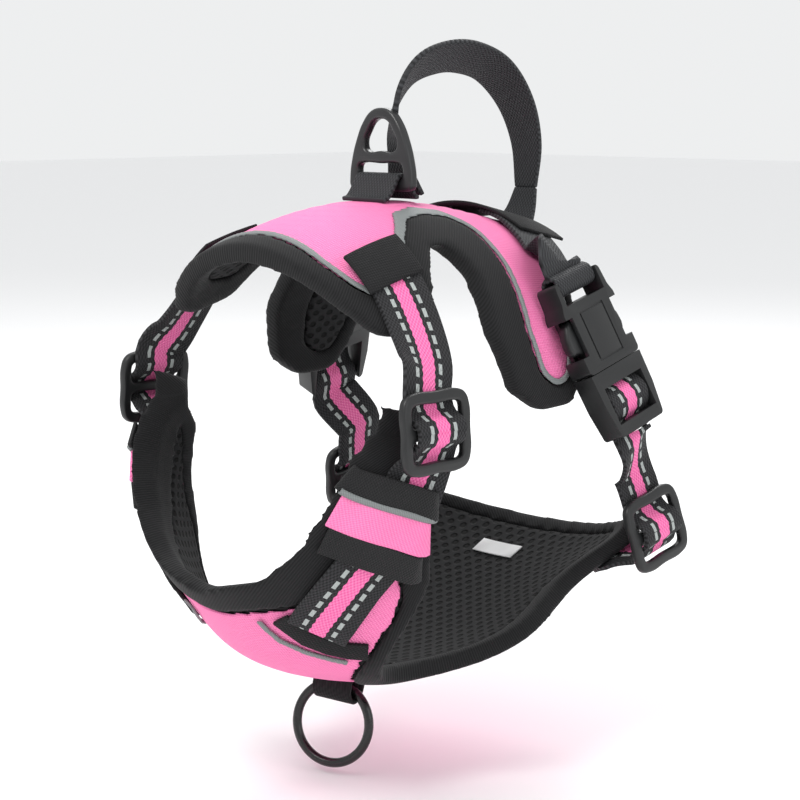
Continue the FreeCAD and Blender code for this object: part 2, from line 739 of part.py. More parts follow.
def socket(name, placement):
    body = new_body(name, placement)
    half = term("BuckleWidth") / 2
    end = term("SocketLength")
    through = term("BuckleThick") * 2
    shell = [(half, "SeamGap"), (half, term("CavityDepth") - 1)]
    shell += [(half - 1.6, term("CavityDepth") + 3), (half - 2.4, end)]
    base = pad(body, outline_sketch(body, name + "_shell", both_sides(shell)), "BuckleThick")
    fillet(body, base, "BuckleRound", upright)
    inner = half - term("SocketWall") * 1.2
    deep = term("BuckleThick") / 2 - "SocketWall"
    cavity = outline_sketch(body, name + "_cavity", rectangle(-inner, inner, -deep, deep), "XZ_Plane")
    pocket(body, cavity, term("CavityDepth") * 2)
    near = half - "WindowDepth"
    far = term("WindowFrom") + "WindowLength"
    sides = (("a", near, half + 2), ("b", -half - 2, -near))
    for tag, left, right in sides:
        window = outline_sketch(body, name + "_window_" + tag, rectangle(left, right, "WindowFrom", far))
        pocket(body, window, through)
    slot_top = end - "SlotBar"
    slot_side = term("SlotWidth") / 2
    slot = rectangle(-slot_side, slot_side, slot_top - "SlotHeight", slot_top)
    pocket(body, outline_sketch(body, name + "_slot", slot), through)
    thin = term("BarThick") / 2
    for tag, low, high in (("a", thin, term("BuckleThick")), ("b", -term("BuckleThick"), -thin)):
        bar = rectangle(slot_top - 0.01, end + 1, low, high)
        pocket(body, outline_sketch(body, name + "_bar_" + tag, bar, "YZ_Plane"), "SlotWidth")
    wide = term("PanelWidth") / 2
    start = term("SeamGap") + 3.5
    finish = start + "PanelLength"
    face = term("BuckleThick") / 2
    groove = outline_sketch(body, name + "_groove", rectangle(-wide, wide, start, finish), lift=face)
    island = wide - "PanelLine"
    draw_loop(groove, rectangle(-island, island, start + "PanelLine", finish - "PanelLine"))
    pocket(body, groove, "PanelDepth", both=False)


def plug(name, placement):
    body = new_body(name, placement)
    half = term("BuckleWidth") / 2
    low = -term("PlugLength")
    shell = [(half, 0), (half - 0.4, low / 2), (half - 2.6, low)]
    base = pad(body, outline_sketch(body, name + "_shell", both_sides(shell)), term("BuckleThick") - 0.6)
    fillet(body, base, "BuckleRound", lambda e: upright(e) and e.BoundBox.YMax < -1)
    slot_side = term("SlotWidth") / 2
    bar_top = low + "PlugBar"
    window = rectangle(-slot_side, slot_side, bar_top, -term("PlugShoulder"))
    pocket(body, outline_sketch(body, name + "_window", window), term("BuckleThick") * 2)
    back = rectangle(low - 1, bar_top + 0.01, -term("BuckleThick"), -1.3)
    pocket(body, outline_sketch(body, name + "_bar", back, "YZ_Plane"), "SlotWidth")
    rail = term("GuideWidth") / 2
    guide = outline_sketch(body, name + "_guide", rectangle(-rail, rail, -0.5, "GuideLength"))
    pad(body, guide, term("BuckleThick") - term("SocketWall") * 2 - 1.5)


def arm(name, placement, sign):
    """Sprung arm of the plug, with the button that shows in the socket's side window."""
    body = new_body(name, placement)
    inner = term("ArmRun") - term("ArmWidth") / 2
    outer = term("ArmRun") + term("ArmWidth") / 2
    low = term("WindowFrom") + 1.2
    top = low + "ButtonLength"
    reach = term("ButtonReach")
    points = [(inner, 0.6), (outer, 0.6), (outer + 0.4, low), (reach - 1, low + 1.2)]
    points += [(reach, low + 4.5), (reach - 0.5, low + 9), (reach - 3, top)]
    points += [(outer, "ArmLength"), (inner + 0.8, term("ArmLength") - 2)]
    placed = [(a * sign, b) for a, b in points]
    pad(body, outline_sketch(body, name + "_arm", placed), "ArmThick")


for side, placement in side_placements(buckle):
    socket("buckle_socket_" + side, placement)
    plug("buckle_plug_" + side, placement)
    rearward = 1 if side == "left" else -1
    arm("rear_arm_" + side, placement, rearward)
    arm("front_arm_" + side, placement, -rearward)

# ---------------------------------------------------------------- leash ring

ring_turn = FreeCAD.Rotation(X_AXIS, Vector(0, 0, 1), Vector(0, -1, 0), "XYZ")
leash = new_body("leash_ring", FreeCAD.Placement(ring_axis, ring_turn))
foot_half = term("RingFoot") / 2
head = term("RingHead") / 2
bar_half = term("RingBar") / 2
crown = term("RingHeight") - bar_half
ring_outline = [(foot_half, -bar_half), (foot_half - 0.8, term("RingHeight") * 0.24)]
ring_outline += [(head + 3.2, term("RingHeight") * 0.58), (head - 1.4, term("RingHeight") * 0.80)]
ring_outline += [(head - 6, crown)]
ring_pad = pad(leash, outline_sketch(leash, "leash_outline", both_sides(ring_outline)), "RingPlate")
fillet(leash, ring_pad, bar_half, upright)
through_ring = term("RingPlate") * 2
slot_high = bar_half + "RingSlot"
slot_half = foot_half - "RingSide" - 0.5
slot_outline = rectangle(-slot_half, slot_half, bar_half, slot_high)
pocket(leash, outline_sketch(leash, "leash_slot", slot_outline), through_ring)
eye_low = slot_high + "RingCross"
eye = [(head - 0.6, eye_low), (head - 1.6, eye_low + 5), (head - 7, crown - "RingSide")]
last_cut = pocket(leash, outline_sketch(leash, "leash_eye", both_sides(eye)), through_ring)
face_of_ring = size("RingPlate") / 2
fillet(leash, last_cut, "SliderEdge",
       lambda e: abs(abs(e.BoundBox.ZMin) - face_of_ring) < 0.01 and e.BoundBox.ZLength < 0.01)

# ---------------------------------------------------------------- chest ring

ring_pin = FreeCAD.Rotation(X_AXIS, size("ORingAngle") - 90).multVec(
    Vector(math.cos(math.radians(size("ORingYaw"))), math.sin(math.radians(size("ORingYaw"))), 0))
plumb = Vector(0, 0, -1)
hang = (plumb - ring_pin * plumb.dot(ring_pin)).normalize()
hang = FreeCAD.Rotation(ring_pin, -size("ORingLean")).multVec(hang)
chest_ring = doc.addObject("Part::Torus", "chest_ring")
chest_ring.Label = "chest_ring"
chest_ring.setExpression("Radius1", "Sizes.ORing / 2")
chest_ring.setExpression("Radius2", "Sizes.OWire / 2")
ring_centre = loop_centre + hang * (size("ORing") / 2)
ring_lie = FreeCAD.Rotation(ring_pin, hang, ring_pin.cross(hang), "XYZ")
chest_ring.Placement = FreeCAD.Placement(ring_centre, ring_lie)
NODES.append(chest_ring)

# ---------------------------------------------------------------- webbing pressed into soft edges

# Soft piece, and the piece sewn down hard enough to sink into it.
PRESSED = []
for side in ("_left", "_right"):
    PRESSED += [("back_piping", sewn + side) for sewn in ("girth_web", "neck_strap")]
    PRESSED += [("chest_binding" + side, sewn + side) for sewn in ("lobe_strap", "belly_tab")]
    PRESSED += [("chest_binding" + side, "chest_border" + side)]
    for band, height, line in KEEPERS:
        PRESSED += [("chest_binding" + side, band + side), (band + side, "lobe_strap" + side)]
named = {piece.Label: piece for piece in NODES}
for soft_piece, sewn in PRESSED:
    pressed = named[soft_piece].Shape.cut(named[sewn].Shape)
    named[soft_piece].Shape = max(pressed.Solids, key=lambda solid: solid.Volume)

# ---------------------------------------------------------------- check and write

doc.recompute()
faults = []
for item in doc.Objects:
    if "Invalid" in item.State or "Error" in item.State:
        faults.append(item.Name + " did not compute")
for piece in NODES:
    if piece.Shape.isNull() or not piece.Shape.isValid() or piece.Shape.Volume <= 0:
        faults.append(piece.Label + " has no valid solid")
if faults:
    raise ValueError("; ".join(faults))

os.makedirs("parts", exist_ok=True)
for piece in NODES:
    piece.Shape.exportStep("parts/" + piece.Label + ".step")
print(len(NODES), "pieces written")
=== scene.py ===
import bpy
import json
import math

from mathutils import Matrix, Vector
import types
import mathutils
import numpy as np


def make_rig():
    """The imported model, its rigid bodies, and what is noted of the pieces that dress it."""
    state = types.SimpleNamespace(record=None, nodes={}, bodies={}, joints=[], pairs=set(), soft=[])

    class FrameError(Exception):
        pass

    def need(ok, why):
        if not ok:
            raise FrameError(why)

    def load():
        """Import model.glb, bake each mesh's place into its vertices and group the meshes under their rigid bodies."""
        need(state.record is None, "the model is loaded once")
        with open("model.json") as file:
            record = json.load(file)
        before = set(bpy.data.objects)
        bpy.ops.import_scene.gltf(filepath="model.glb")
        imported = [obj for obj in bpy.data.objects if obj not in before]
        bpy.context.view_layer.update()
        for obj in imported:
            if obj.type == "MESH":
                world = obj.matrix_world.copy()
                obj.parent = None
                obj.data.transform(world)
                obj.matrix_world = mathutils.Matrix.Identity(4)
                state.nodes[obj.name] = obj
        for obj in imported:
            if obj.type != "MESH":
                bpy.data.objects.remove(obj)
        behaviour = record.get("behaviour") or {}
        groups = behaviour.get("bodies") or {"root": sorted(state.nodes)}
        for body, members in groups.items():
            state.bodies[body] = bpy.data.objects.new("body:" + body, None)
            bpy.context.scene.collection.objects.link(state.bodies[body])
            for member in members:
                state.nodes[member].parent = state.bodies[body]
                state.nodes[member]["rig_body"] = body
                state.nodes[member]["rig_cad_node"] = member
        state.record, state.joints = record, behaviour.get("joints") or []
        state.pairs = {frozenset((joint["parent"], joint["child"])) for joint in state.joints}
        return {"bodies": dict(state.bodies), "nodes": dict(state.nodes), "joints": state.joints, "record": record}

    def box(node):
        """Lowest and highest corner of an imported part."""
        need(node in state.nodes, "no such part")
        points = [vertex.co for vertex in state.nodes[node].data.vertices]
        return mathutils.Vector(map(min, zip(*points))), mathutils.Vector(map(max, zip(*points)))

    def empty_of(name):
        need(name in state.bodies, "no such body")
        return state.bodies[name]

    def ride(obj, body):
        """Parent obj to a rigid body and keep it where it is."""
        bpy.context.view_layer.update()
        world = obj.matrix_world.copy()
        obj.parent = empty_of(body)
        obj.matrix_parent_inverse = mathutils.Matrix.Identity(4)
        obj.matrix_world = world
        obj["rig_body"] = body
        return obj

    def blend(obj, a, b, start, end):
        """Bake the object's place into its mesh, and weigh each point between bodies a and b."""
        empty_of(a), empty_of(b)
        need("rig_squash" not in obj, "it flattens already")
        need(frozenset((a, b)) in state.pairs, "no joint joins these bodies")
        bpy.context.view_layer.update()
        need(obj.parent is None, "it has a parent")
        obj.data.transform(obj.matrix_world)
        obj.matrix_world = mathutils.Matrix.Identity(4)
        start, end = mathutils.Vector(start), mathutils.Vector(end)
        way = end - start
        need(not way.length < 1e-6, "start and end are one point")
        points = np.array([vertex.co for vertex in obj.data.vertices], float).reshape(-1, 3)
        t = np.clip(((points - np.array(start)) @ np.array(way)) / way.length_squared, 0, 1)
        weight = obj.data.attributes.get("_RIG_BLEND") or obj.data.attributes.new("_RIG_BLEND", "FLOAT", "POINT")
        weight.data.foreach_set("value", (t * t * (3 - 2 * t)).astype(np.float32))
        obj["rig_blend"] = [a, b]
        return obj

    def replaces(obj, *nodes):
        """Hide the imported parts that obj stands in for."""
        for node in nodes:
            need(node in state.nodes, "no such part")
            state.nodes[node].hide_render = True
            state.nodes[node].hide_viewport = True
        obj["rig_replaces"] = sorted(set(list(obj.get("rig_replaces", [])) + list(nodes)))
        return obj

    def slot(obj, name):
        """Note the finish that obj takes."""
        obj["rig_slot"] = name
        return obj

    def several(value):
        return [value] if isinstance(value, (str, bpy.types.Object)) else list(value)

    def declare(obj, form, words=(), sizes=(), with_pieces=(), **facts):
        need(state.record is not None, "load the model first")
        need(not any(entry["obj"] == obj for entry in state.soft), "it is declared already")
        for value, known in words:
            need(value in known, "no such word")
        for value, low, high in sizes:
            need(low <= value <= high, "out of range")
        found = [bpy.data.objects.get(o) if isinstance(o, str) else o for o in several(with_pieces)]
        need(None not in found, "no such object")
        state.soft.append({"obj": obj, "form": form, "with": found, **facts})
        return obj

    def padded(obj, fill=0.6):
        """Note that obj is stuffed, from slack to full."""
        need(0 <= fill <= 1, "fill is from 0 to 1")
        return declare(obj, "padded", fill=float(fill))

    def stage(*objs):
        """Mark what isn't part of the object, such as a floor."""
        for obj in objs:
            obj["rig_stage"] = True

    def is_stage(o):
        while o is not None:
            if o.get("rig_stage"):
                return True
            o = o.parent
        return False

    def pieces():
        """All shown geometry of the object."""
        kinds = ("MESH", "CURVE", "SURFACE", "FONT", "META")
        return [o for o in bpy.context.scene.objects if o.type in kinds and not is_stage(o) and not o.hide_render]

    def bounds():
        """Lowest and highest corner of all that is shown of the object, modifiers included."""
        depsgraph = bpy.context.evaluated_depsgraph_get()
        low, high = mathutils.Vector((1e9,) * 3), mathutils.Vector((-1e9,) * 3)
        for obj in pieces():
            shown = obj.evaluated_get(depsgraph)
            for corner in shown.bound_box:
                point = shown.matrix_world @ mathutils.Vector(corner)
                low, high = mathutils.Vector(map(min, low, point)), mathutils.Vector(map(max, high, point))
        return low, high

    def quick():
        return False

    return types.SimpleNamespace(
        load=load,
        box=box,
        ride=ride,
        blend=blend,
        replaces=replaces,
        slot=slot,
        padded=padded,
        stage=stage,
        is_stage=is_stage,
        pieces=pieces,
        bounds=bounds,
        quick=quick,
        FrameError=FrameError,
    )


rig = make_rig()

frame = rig.load()
cad_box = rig.bounds()

# ---------------------------------------------------------------- table, camera and lamps
# The harness stands as it does on a dog, over a plain pale table top.  One big soft lamp is
# above and to the left, a weaker one fills from the right, and a third lights the back edge.

CAMERA_TURN = math.radians(45)
CAMERA_RISE = math.radians(9)
CAMERA_AWAY = 0.817
TABLE_TOP = cad_box[0][2] - 0.004


def back_from(turn, rise, away):
    """Point at that turn and rise from the middle of the chest, looking back at it."""
    level = math.cos(rise)
    return Vector((math.sin(turn) * level, -math.cos(turn) * level, math.sin(rise))) * away


def aim(thing, point):
    thing.rotation_euler = (Vector(point) - thing.location).to_track_quat("-Z", "Y").to_euler()


bpy.ops.object.camera_add(location=back_from(CAMERA_TURN, CAMERA_RISE, CAMERA_AWAY))
camera = bpy.context.object
camera.data.lens = 85.5
camera.data.sensor_width = 36
aim(camera, (0, 0, 0))
bpy.context.scene.camera = camera
bpy.context.scene.view_settings.view_transform = "Standard"


def soft_lamp(name, turn, rise, away, width, power, tint):
    bpy.ops.object.light_add(type="AREA", location=back_from(math.radians(turn), math.radians(rise), away))
    lamp = bpy.context.object
    lamp.name = name
    lamp.data.shape = "DISK"
    lamp.data.size = width
    lamp.data.energy = power
    lamp.data.color = tint
    aim(lamp, (0, 0, 0))


soft_lamp("key_lamp", 5, 52, 1.5, 0.7, 12, (1.0, 0.985, 0.97))
soft_lamp("fill_lamp", 95, 20, 1.6, 1.1, 4, (0.97, 0.985, 1.0))
soft_lamp("rim_lamp", 215, 45, 1.5, 0.8, 9, (1, 1, 1))

world = bpy.data.worlds.new("pale_room")
bpy.context.scene.world = world
world.use_nodes = True
world.node_tree.nodes["Background"].inputs["Color"].default_value = (0.97, 0.98, 0.985, 1)
world.node_tree.nodes["Background"].inputs["Strength"].default_value = 0.88

bpy.ops.mesh.primitive_plane_add(size=14, location=(0, 0, TABLE_TOP))
table = bpy.context.object
table.name = "table"
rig.stage(table)


def new_material(name, colour, rough):
    material = bpy.data.materials.new(name)
    material.use_nodes = True
    shader = material.node_tree.nodes["Principled BSDF"]
    shader.inputs["Base Color"].default_value = (*colour, 1)
    shader.inputs["Roughness"].default_value = rough
    return material


def node(material, kind, **values):
    """Add a node; values set its properties, or its sockets by name."""
    made = material.node_tree.nodes.new(kind)
    for key, value in values.items():
        if hasattr(made, key):
            setattr(made, key, value)
        else:
            made.inputs[key.replace("_", " ")].default_value = value
    return made


def wire(material, start, end):
    material.node_tree.links.new(start, end)


def shader_of(material):
    return material.node_tree.nodes["Principled BSDF"]


pale_top = new_material("pale_table", (0.93, 0.93, 0.935), 0.8)
table.data.materials.append(pale_top)

# ---------------------------------------------------------------- pink padded panels
# The back saddle and the chest shield each have a pink oxford cover over foam.  The cover is
# cut to the same outline as the foam under it and quilted down along its edge, so it swells a
# little in the middle and dips towards the binding.

PINK = (0.86, 0.14, 0.38)
PINK_LIGHT = (1.0, 0.30, 0.56)
PANEL_GRAIN = 0.0016


def alone(thing):
    """Make this the only selected and active object."""
    bpy.ops.object.select_all(action="DESELECT")
    thing.select_set(True)
    bpy.context.view_layer.objects.active = thing


def edit(thing):
    alone(thing)
    bpy.ops.object.mode_set(mode="EDIT")
    bpy.ops.mesh.select_mode(type="VERT")
    bpy.ops.mesh.select_all(action="SELECT")


def leave_edit():
    bpy.ops.object.mode_set(mode="OBJECT")


def apply_all(thing):
    alone(thing)
    for modifier in list(thing.modifiers):
        bpy.ops.object.modifier_apply(modifier=modifier.name)


def taken_from(names, new_name):
    """One closed mesh copied from CAD nodes, with its doubled corners merged."""
    copies = []
    for name in names:
        mesh = frame["nodes"][name].data.copy()
        copy = bpy.data.objects.new(new_name, mesh)
        bpy.context.scene.collection.objects.link(copy)
        mesh.materials.clear()
        copies.append(copy)
    alone(copies[0])
    for copy in copies[1:]:
        copy.select_set(True)
    if len(copies) > 1:
        bpy.ops.object.join()
    piece = copies[0]
    edit(piece)
    bpy.ops.mesh.remove_doubles(threshold=2e-6)
    leave_edit()
    return piece


def remeshed(piece, grain, rounds=6):
    """Even the mesh out to small equal faces and soften the cut edges."""
    remesh = piece.modifiers.new("even", "REMESH")
    remesh.mode = "VOXEL"
    remesh.voxel_size = grain
    ease = piece.modifiers.new("ease", "SMOOTH")
    ease.factor = 0.5
    ease.iterations = rounds
    apply_all(piece)
    return piece


def blown_up(piece, pressure, most, frames=16):
    """Fill a closed mesh with a little pressure, and cap how far any point moves."""
    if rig.quick():
        swell = piece.modifiers.new("swell", "DISPLACE")
        swell.strength = most * 0.8
        swell.mid_level = 0
        apply_all(piece)
        return piece
    start = [v.co.copy() for v in piece.data.vertices]
    cloth = piece.modifiers.new("filling", "CLOTH")
    cloth.settings.quality = 4
    cloth.settings.mass = 0.25
    cloth.settings.tension_stiffness = 12
    cloth.settings.compression_stiffness = 12
    cloth.settings.bending_stiffness = 0.6
    cloth.settings.use_pressure = True
    cloth.settings.uniform_pressure_force = pressure
    cloth.settings.effector_weights.gravity = 0
    cloth.collision_settings.use_collision = False
    cloth.point_cache.frame_start = 1
    cloth.point_cache.frame_end = frames
    for number in range(1, frames + 1):
        bpy.context.scene.frame_set(number)
    apply_all(piece)
    for vertex, old in zip(piece.data.vertices, start):
        move = vertex.co - old
        if move.length > most:
            vertex.co = old + move * (most / move.length)
    bpy.context.scene.frame_set(1)
    return piece


def along_panel(piece):
    """Store where each point lies on the flat cloth, for the weave to follow."""
    spot = piece.data.attributes.new("cloth_at", "FLOAT_VECTOR", "POINT")
    for vertex in piece.data.vertices:
        x, y, z = vertex.co
        if z > 0.003:
            spot.data[vertex.index].vector = (math.atan2(x, z + 0.005) * 0.08, y, 0)
        else:
            out = math.hypot(y + 0.01, z + 0.01)
            turn = math.atan2(-(z + 0.01), -(y + 0.01))
            spot.data[vertex.index].vector = (math.atan2(x, out) * 0.095, turn * 0.105, 0)
    return piece


def weave_group():
    """Plain weave: threads crossing over and under, as a height and a mask."""
    group = bpy.data.node_groups.new("plain_weave", "ShaderNodeTree")
    for name, kind in (("Place", "NodeSocketVector"), ("Threads", "NodeSocketFloat")):
        group.interface.new_socket(name=name, in_out="INPUT", socket_type=kind)
    for name in ("Height", "Mottle"):
        group.interface.new_socket(name=name, in_out="OUTPUT", socket_type="NodeSocketFloat")
    nodes, links = group.nodes, group.links
    source = nodes.new("NodeGroupInput")
    result = nodes.new("NodeGroupOutput")
    scaled = nodes.new("ShaderNodeVectorMath")
    scaled.operation = "SCALE"
    links.new(source.outputs["Place"], scaled.inputs[0])
    links.new(source.outputs["Threads"], scaled.inputs["Scale"])
    parts = nodes.new("ShaderNodeSeparateXYZ")
    links.new(scaled.outputs[0], parts.inputs[0])
    waves = []
    for axis in ("X", "Y"):
        sine = nodes.new("ShaderNodeMath")
        sine.operation = "SINE"
        links.new(parts.outputs[axis], sine.inputs[0])
        waves.append(sine)
    cross = nodes.new("ShaderNodeMath")
    cross.operation = "MULTIPLY"
    links.new(waves[0].outputs[0], cross.inputs[0])
    links.new(waves[1].outputs[0], cross.inputs[1])
    high = nodes.new("ShaderNodeMath")
    high.operation = "MULTIPLY_ADD"
    high.inputs[1].default_value = 0.5
    high.inputs[2].default_value = 0.5
    links.new(cross.outputs[0], high.inputs[0])
    links.new(high.outputs[0], result.inputs["Height"])
    mottle = nodes.new("ShaderNodeTexNoise")
    mottle.inputs["Scale"].default_value = 0.35
    mottle.inputs["Detail"].default_value = 4
    links.new(scaled.outputs[0], mottle.inputs["Vector"])
    links.new(mottle.outputs["Fac"], result.inputs["Mottle"])
    return group


plain_weave = weave_group()


def cloth_material(name, dark, light, threads, rough, lift, place="cloth_at"):
    """Woven cloth: two tones of one colour, thread height, and a soft sheen."""
    material = new_material(name, dark, rough)
    shader = shader_of(material)
    spot = node(material, "ShaderNodeAttribute", attribute_name=place)
    turned = node(material, "ShaderNodeMapping", Rotation=(0, 0, math.radians(45)))
    wire(material, spot.outputs["Vector"], turned.inputs["Vector"])
    weave = node(material, "ShaderNodeGroup", node_tree=plain_weave)
    weave.inputs["Threads"].default_value = threads
    wire(material, turned.outputs[0], weave.inputs["Place"])
    tone = node(material, "ShaderNodeMix", data_type="RGBA")
    tone.inputs["A"].default_value = (*dark, 1)
    tone.inputs["B"].default_value = (*light, 1)
    blend = node(material, "ShaderNodeMath", operation="MULTIPLY_ADD")
    blend.inputs[1].default_value = 0.75
    wire(material, weave.outputs["Height"], blend.inputs[0])
    level = node(material, "ShaderNodeMath", operation="MULTIPLY")
    level.inputs[1].default_value = 0.3
    wire(material, weave.outputs["Mottle"], level.inputs[0])
    wire(material, level.outputs[0], blend.inputs[2])
    wire(material, blend.outputs[0], tone.inputs["Factor"])
    wire(material, tone.outputs["Result"], shader.inputs["Base Color"])
    bump = node(material, "ShaderNodeBump", Strength=0.5, Distance=lift)
    wire(material, weave.outputs["Height"], bump.inputs["Height"])
    wire(material, bump.outputs[0], shader.inputs["Normal"])
    shader.inputs["Sheen Weight"].default_value = 0.04
    shader.inputs["Sheen Roughness"].default_value = 0.4
    shader.inputs["Specular IOR Level"].default_value = 0.2
    return material


pink_cloth = cloth_material("pink_oxford", PINK, PINK_LIGHT, 4300, 0.62, 0.0007)

for panel in ("back", "chest"):
    cover = remeshed(taken_from([panel + "_cover"], panel + "_cover_cloth"), PANEL_GRAIN, 5)
    blown_up(cover, 1.5, 0.0008)
    along_panel(cover)
    cover.data.materials.append(pink_cloth)
    bpy.ops.object.shade_smooth()
    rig.ride(cover, "harness")
    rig.replaces(cover, panel + "_cover")
    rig.slot(cover, "pink_cover")
    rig.padded(cover, 0.4)

# ---------------------------------------------------------------- air-mesh lining
# The side against the dog is a black spacer mesh over foam, with rows of small oval holes.

MESH_BLACK = (0.012, 0.012, 0.013)
MESH_HOLE = 0.0056


def hole_group():
    """Staggered oval holes, as a mask that is 1 on the net and 0 in a hole."""
    group = bpy.data.node_groups.new("net_holes", "ShaderNodeTree")
    for name, kind in (("Place", "NodeSocketVector"), ("Pitch", "NodeSocketFloat")):
        group.interface.new_socket(name=name, in_out="INPUT", socket_type=kind)
    group.interface.new_socket(name="Net", in_out="OUTPUT", socket_type="NodeSocketFloat")
    nodes, links = group.nodes, group.links
    source = nodes.new("NodeGroupInput")
    result = nodes.new("NodeGroupOutput")
    scaled = nodes.new("ShaderNodeVectorMath")
    scaled.operation = "DIVIDE"
    links.new(source.outputs["Place"], scaled.inputs[0])
    links.new(source.outputs["Pitch"], scaled.inputs[1])
    cells = nodes.new("ShaderNodeTexVoronoi")
    cells.inputs["Randomness"].default_value = 0.0
    cells.inputs["Scale"].default_value = 1.0
    stretch = nodes.new("ShaderNodeMapping")
    stretch.inputs["Rotation"].default_value = (0, 0, math.radians(45))
    stretch.inputs["Scale"].default_value = (1.25, 1.0, 1.0)
    links.new(scaled.outputs[0], stretch.inputs["Vector"])
    links.new(stretch.outputs[0], cells.inputs["Vector"])
    edge = nodes.new("ShaderNodeMapRange")
    edge.interpolation_type = "SMOOTHSTEP"
    edge.inputs["From Min"].default_value = 0.22
    edge.inputs["From Max"].default_value = 0.40
    links.new(cells.outputs["Distance"], edge.inputs["Value"])
    links.new(edge.outputs[0], result.inputs["Net"])
    return group


net_holes = hole_group()
mesh_lining = new_material("air_mesh", MESH_BLACK, 0.8)
spot = node(mesh_lining, "ShaderNodeAttribute", attribute_name="cloth_at")
holes = node(mesh_lining, "ShaderNodeGroup", node_tree=net_holes)
holes.inputs["Pitch"].default_value = MESH_HOLE
wire(mesh_lining, spot.outputs["Vector"], holes.inputs["Place"])
net_tone = node(mesh_lining, "ShaderNodeMix", data_type="RGBA")
net_tone.inputs["A"].default_value = (0.0015, 0.0015, 0.0015, 1)
net_tone.inputs["B"].default_value = (0.016, 0.016, 0.017, 1)
wire(mesh_lining, holes.outputs["Net"], net_tone.inputs["Factor"])
wire(mesh_lining, net_tone.outputs["Result"], shader_of(mesh_lining).inputs["Base Color"])
net_bump = node(mesh_lining, "ShaderNodeBump", Strength=0.9, Distance=0.0012)
wire(mesh_lining, holes.outputs["Net"], net_bump.inputs["Height"])
wire(mesh_lining, net_bump.outputs[0], shader_of(mesh_lining).inputs["Normal"])
shader_of(mesh_lining).inputs["Specular IOR Level"].default_value = 0.25

for panel in ("back", "chest"):
    lining = remeshed(taken_from([panel + "_lining"], panel + "_lining_mesh"), PANEL_GRAIN, 6)
    along_panel(lining)
    lining.data.materials.append(mesh_lining)
    bpy.ops.object.shade_smooth()
    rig.ride(lining, "harness")
    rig.replaces(lining, panel + "_lining")
    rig.slot(lining, "air_mesh")
    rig.padded(lining, 0.5)

# ---------------------------------------------------------------- padded knit binding
# A wide tube of fine black rib knit, filled with foam, is rolled over the edge of each panel and
# sewn through both faces.

KNIT = (0.005, 0.005, 0.0055)
KNIT_LIGHT = (0.015, 0.015, 0.016)

knit_cloth = new_material("rib_knit", KNIT, 0.85)
spot = node(knit_cloth, "ShaderNodeAttribute", attribute_name="cloth_at")
ribs = node(knit_cloth, "ShaderNodeTexWave", wave_type="BANDS", bands_direction="DIAGONAL")
ribs.inputs["Scale"].default_value = 420
ribs.inputs["Distortion"].default_value = 1.2
wire(knit_cloth, spot.outputs["Vector"], ribs.inputs["Vector"])
rib_tone = node(knit_cloth, "ShaderNodeMix", data_type="RGBA")
rib_tone.inputs["A"].default_value = (*KNIT, 1)
rib_tone.inputs["B"].default_value = (*KNIT_LIGHT, 1)
wire(knit_cloth, ribs.outputs["Fac"], rib_tone.inputs["Factor"])
wire(knit_cloth, rib_tone.outputs["Result"], shader_of(knit_cloth).inputs["Base Color"])
rib_bump = node(knit_cloth, "ShaderNodeBump", Strength=0.35, Distance=0.0004)
wire(knit_cloth, ribs.outputs["Fac"], rib_bump.inputs["Height"])
wire(knit_cloth, rib_bump.outputs[0], shader_of(knit_cloth).inputs["Normal"])
shader_of(knit_cloth).inputs["Sheen Weight"].default_value = 0.05
shader_of(knit_cloth).inputs["Sheen Roughness"].default_value = 0.5
shader_of(knit_cloth).inputs["Specular IOR Level"].default_value = 0.25

for panel in ("back", "chest"):
    halves = [panel + "_binding_left", panel + "_binding_right"]
    roll = remeshed(taken_from(halves, panel + "_binding_roll"), 0.0015, 14)
    blown_up(roll, 2.5, 0.0014)
    along_panel(roll)
    roll.data.materials.append(knit_cloth)
    bpy.ops.object.shade_smooth()
    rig.ride(roll, "harness")
    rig.replaces(roll, *halves)
    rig.slot(roll, "knit_binding")
    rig.padded(roll, 0.7)

# ---------------------------------------------------------------- where the webbing is sewn
# The straps lie on the two curved panels, so each place on them is worked out from the panel's
# own shape: a saddle along the spine, and a shield swept from the shoulders to the belly.

SADDLE_HALF = 0.076
SADDLE_RISE = 0.085
SADDLE_TOP = 0.0865
SHIELD_HALF = 0.084
SHIELD_REACH = 0.113
SHIELD_BACK = -0.010
SHIELD_UP = -0.010
WEB_WIDE = 0.025
WEB_THICK = 0.0018
ON_BINDING = 0.0022
# angle down from straight ahead, share of the half width, share of the reach
SHIELD_SHARES = [
    (-20, 1.00, 1.14), (0, 1.00, 1.12), (15, 1.02, 1.08), (37, 1.08, 1.00), (48, 1.13, 1.01), (57, 1.28, 1.00),
    (68, 1.52, 0.965), (80, 1.55, 0.93), (93, 1.55, 0.90), (119, 1.45, 0.87), (137, 1.42, 0.93), (151, 1.38, 1.03),
]


def spine_height(y):
    run = y + 0.015
    if run < 0:
        return SADDLE_TOP - 0.016 * (run / 0.073) ** 2
    return SADDLE_TOP - 0.019 * (run / 0.099) ** 1.5


def on_saddle(side, y, off):
    """Point on the back panel: degrees down from the spine, station along it, height off it."""
    turn = math.radians(side)
    high = spine_height(y) - SADDLE_RISE + (SADDLE_RISE + off) * math.cos(turn)
    return Vector(((SADDLE_HALF + off) * math.sin(turn), y, high))


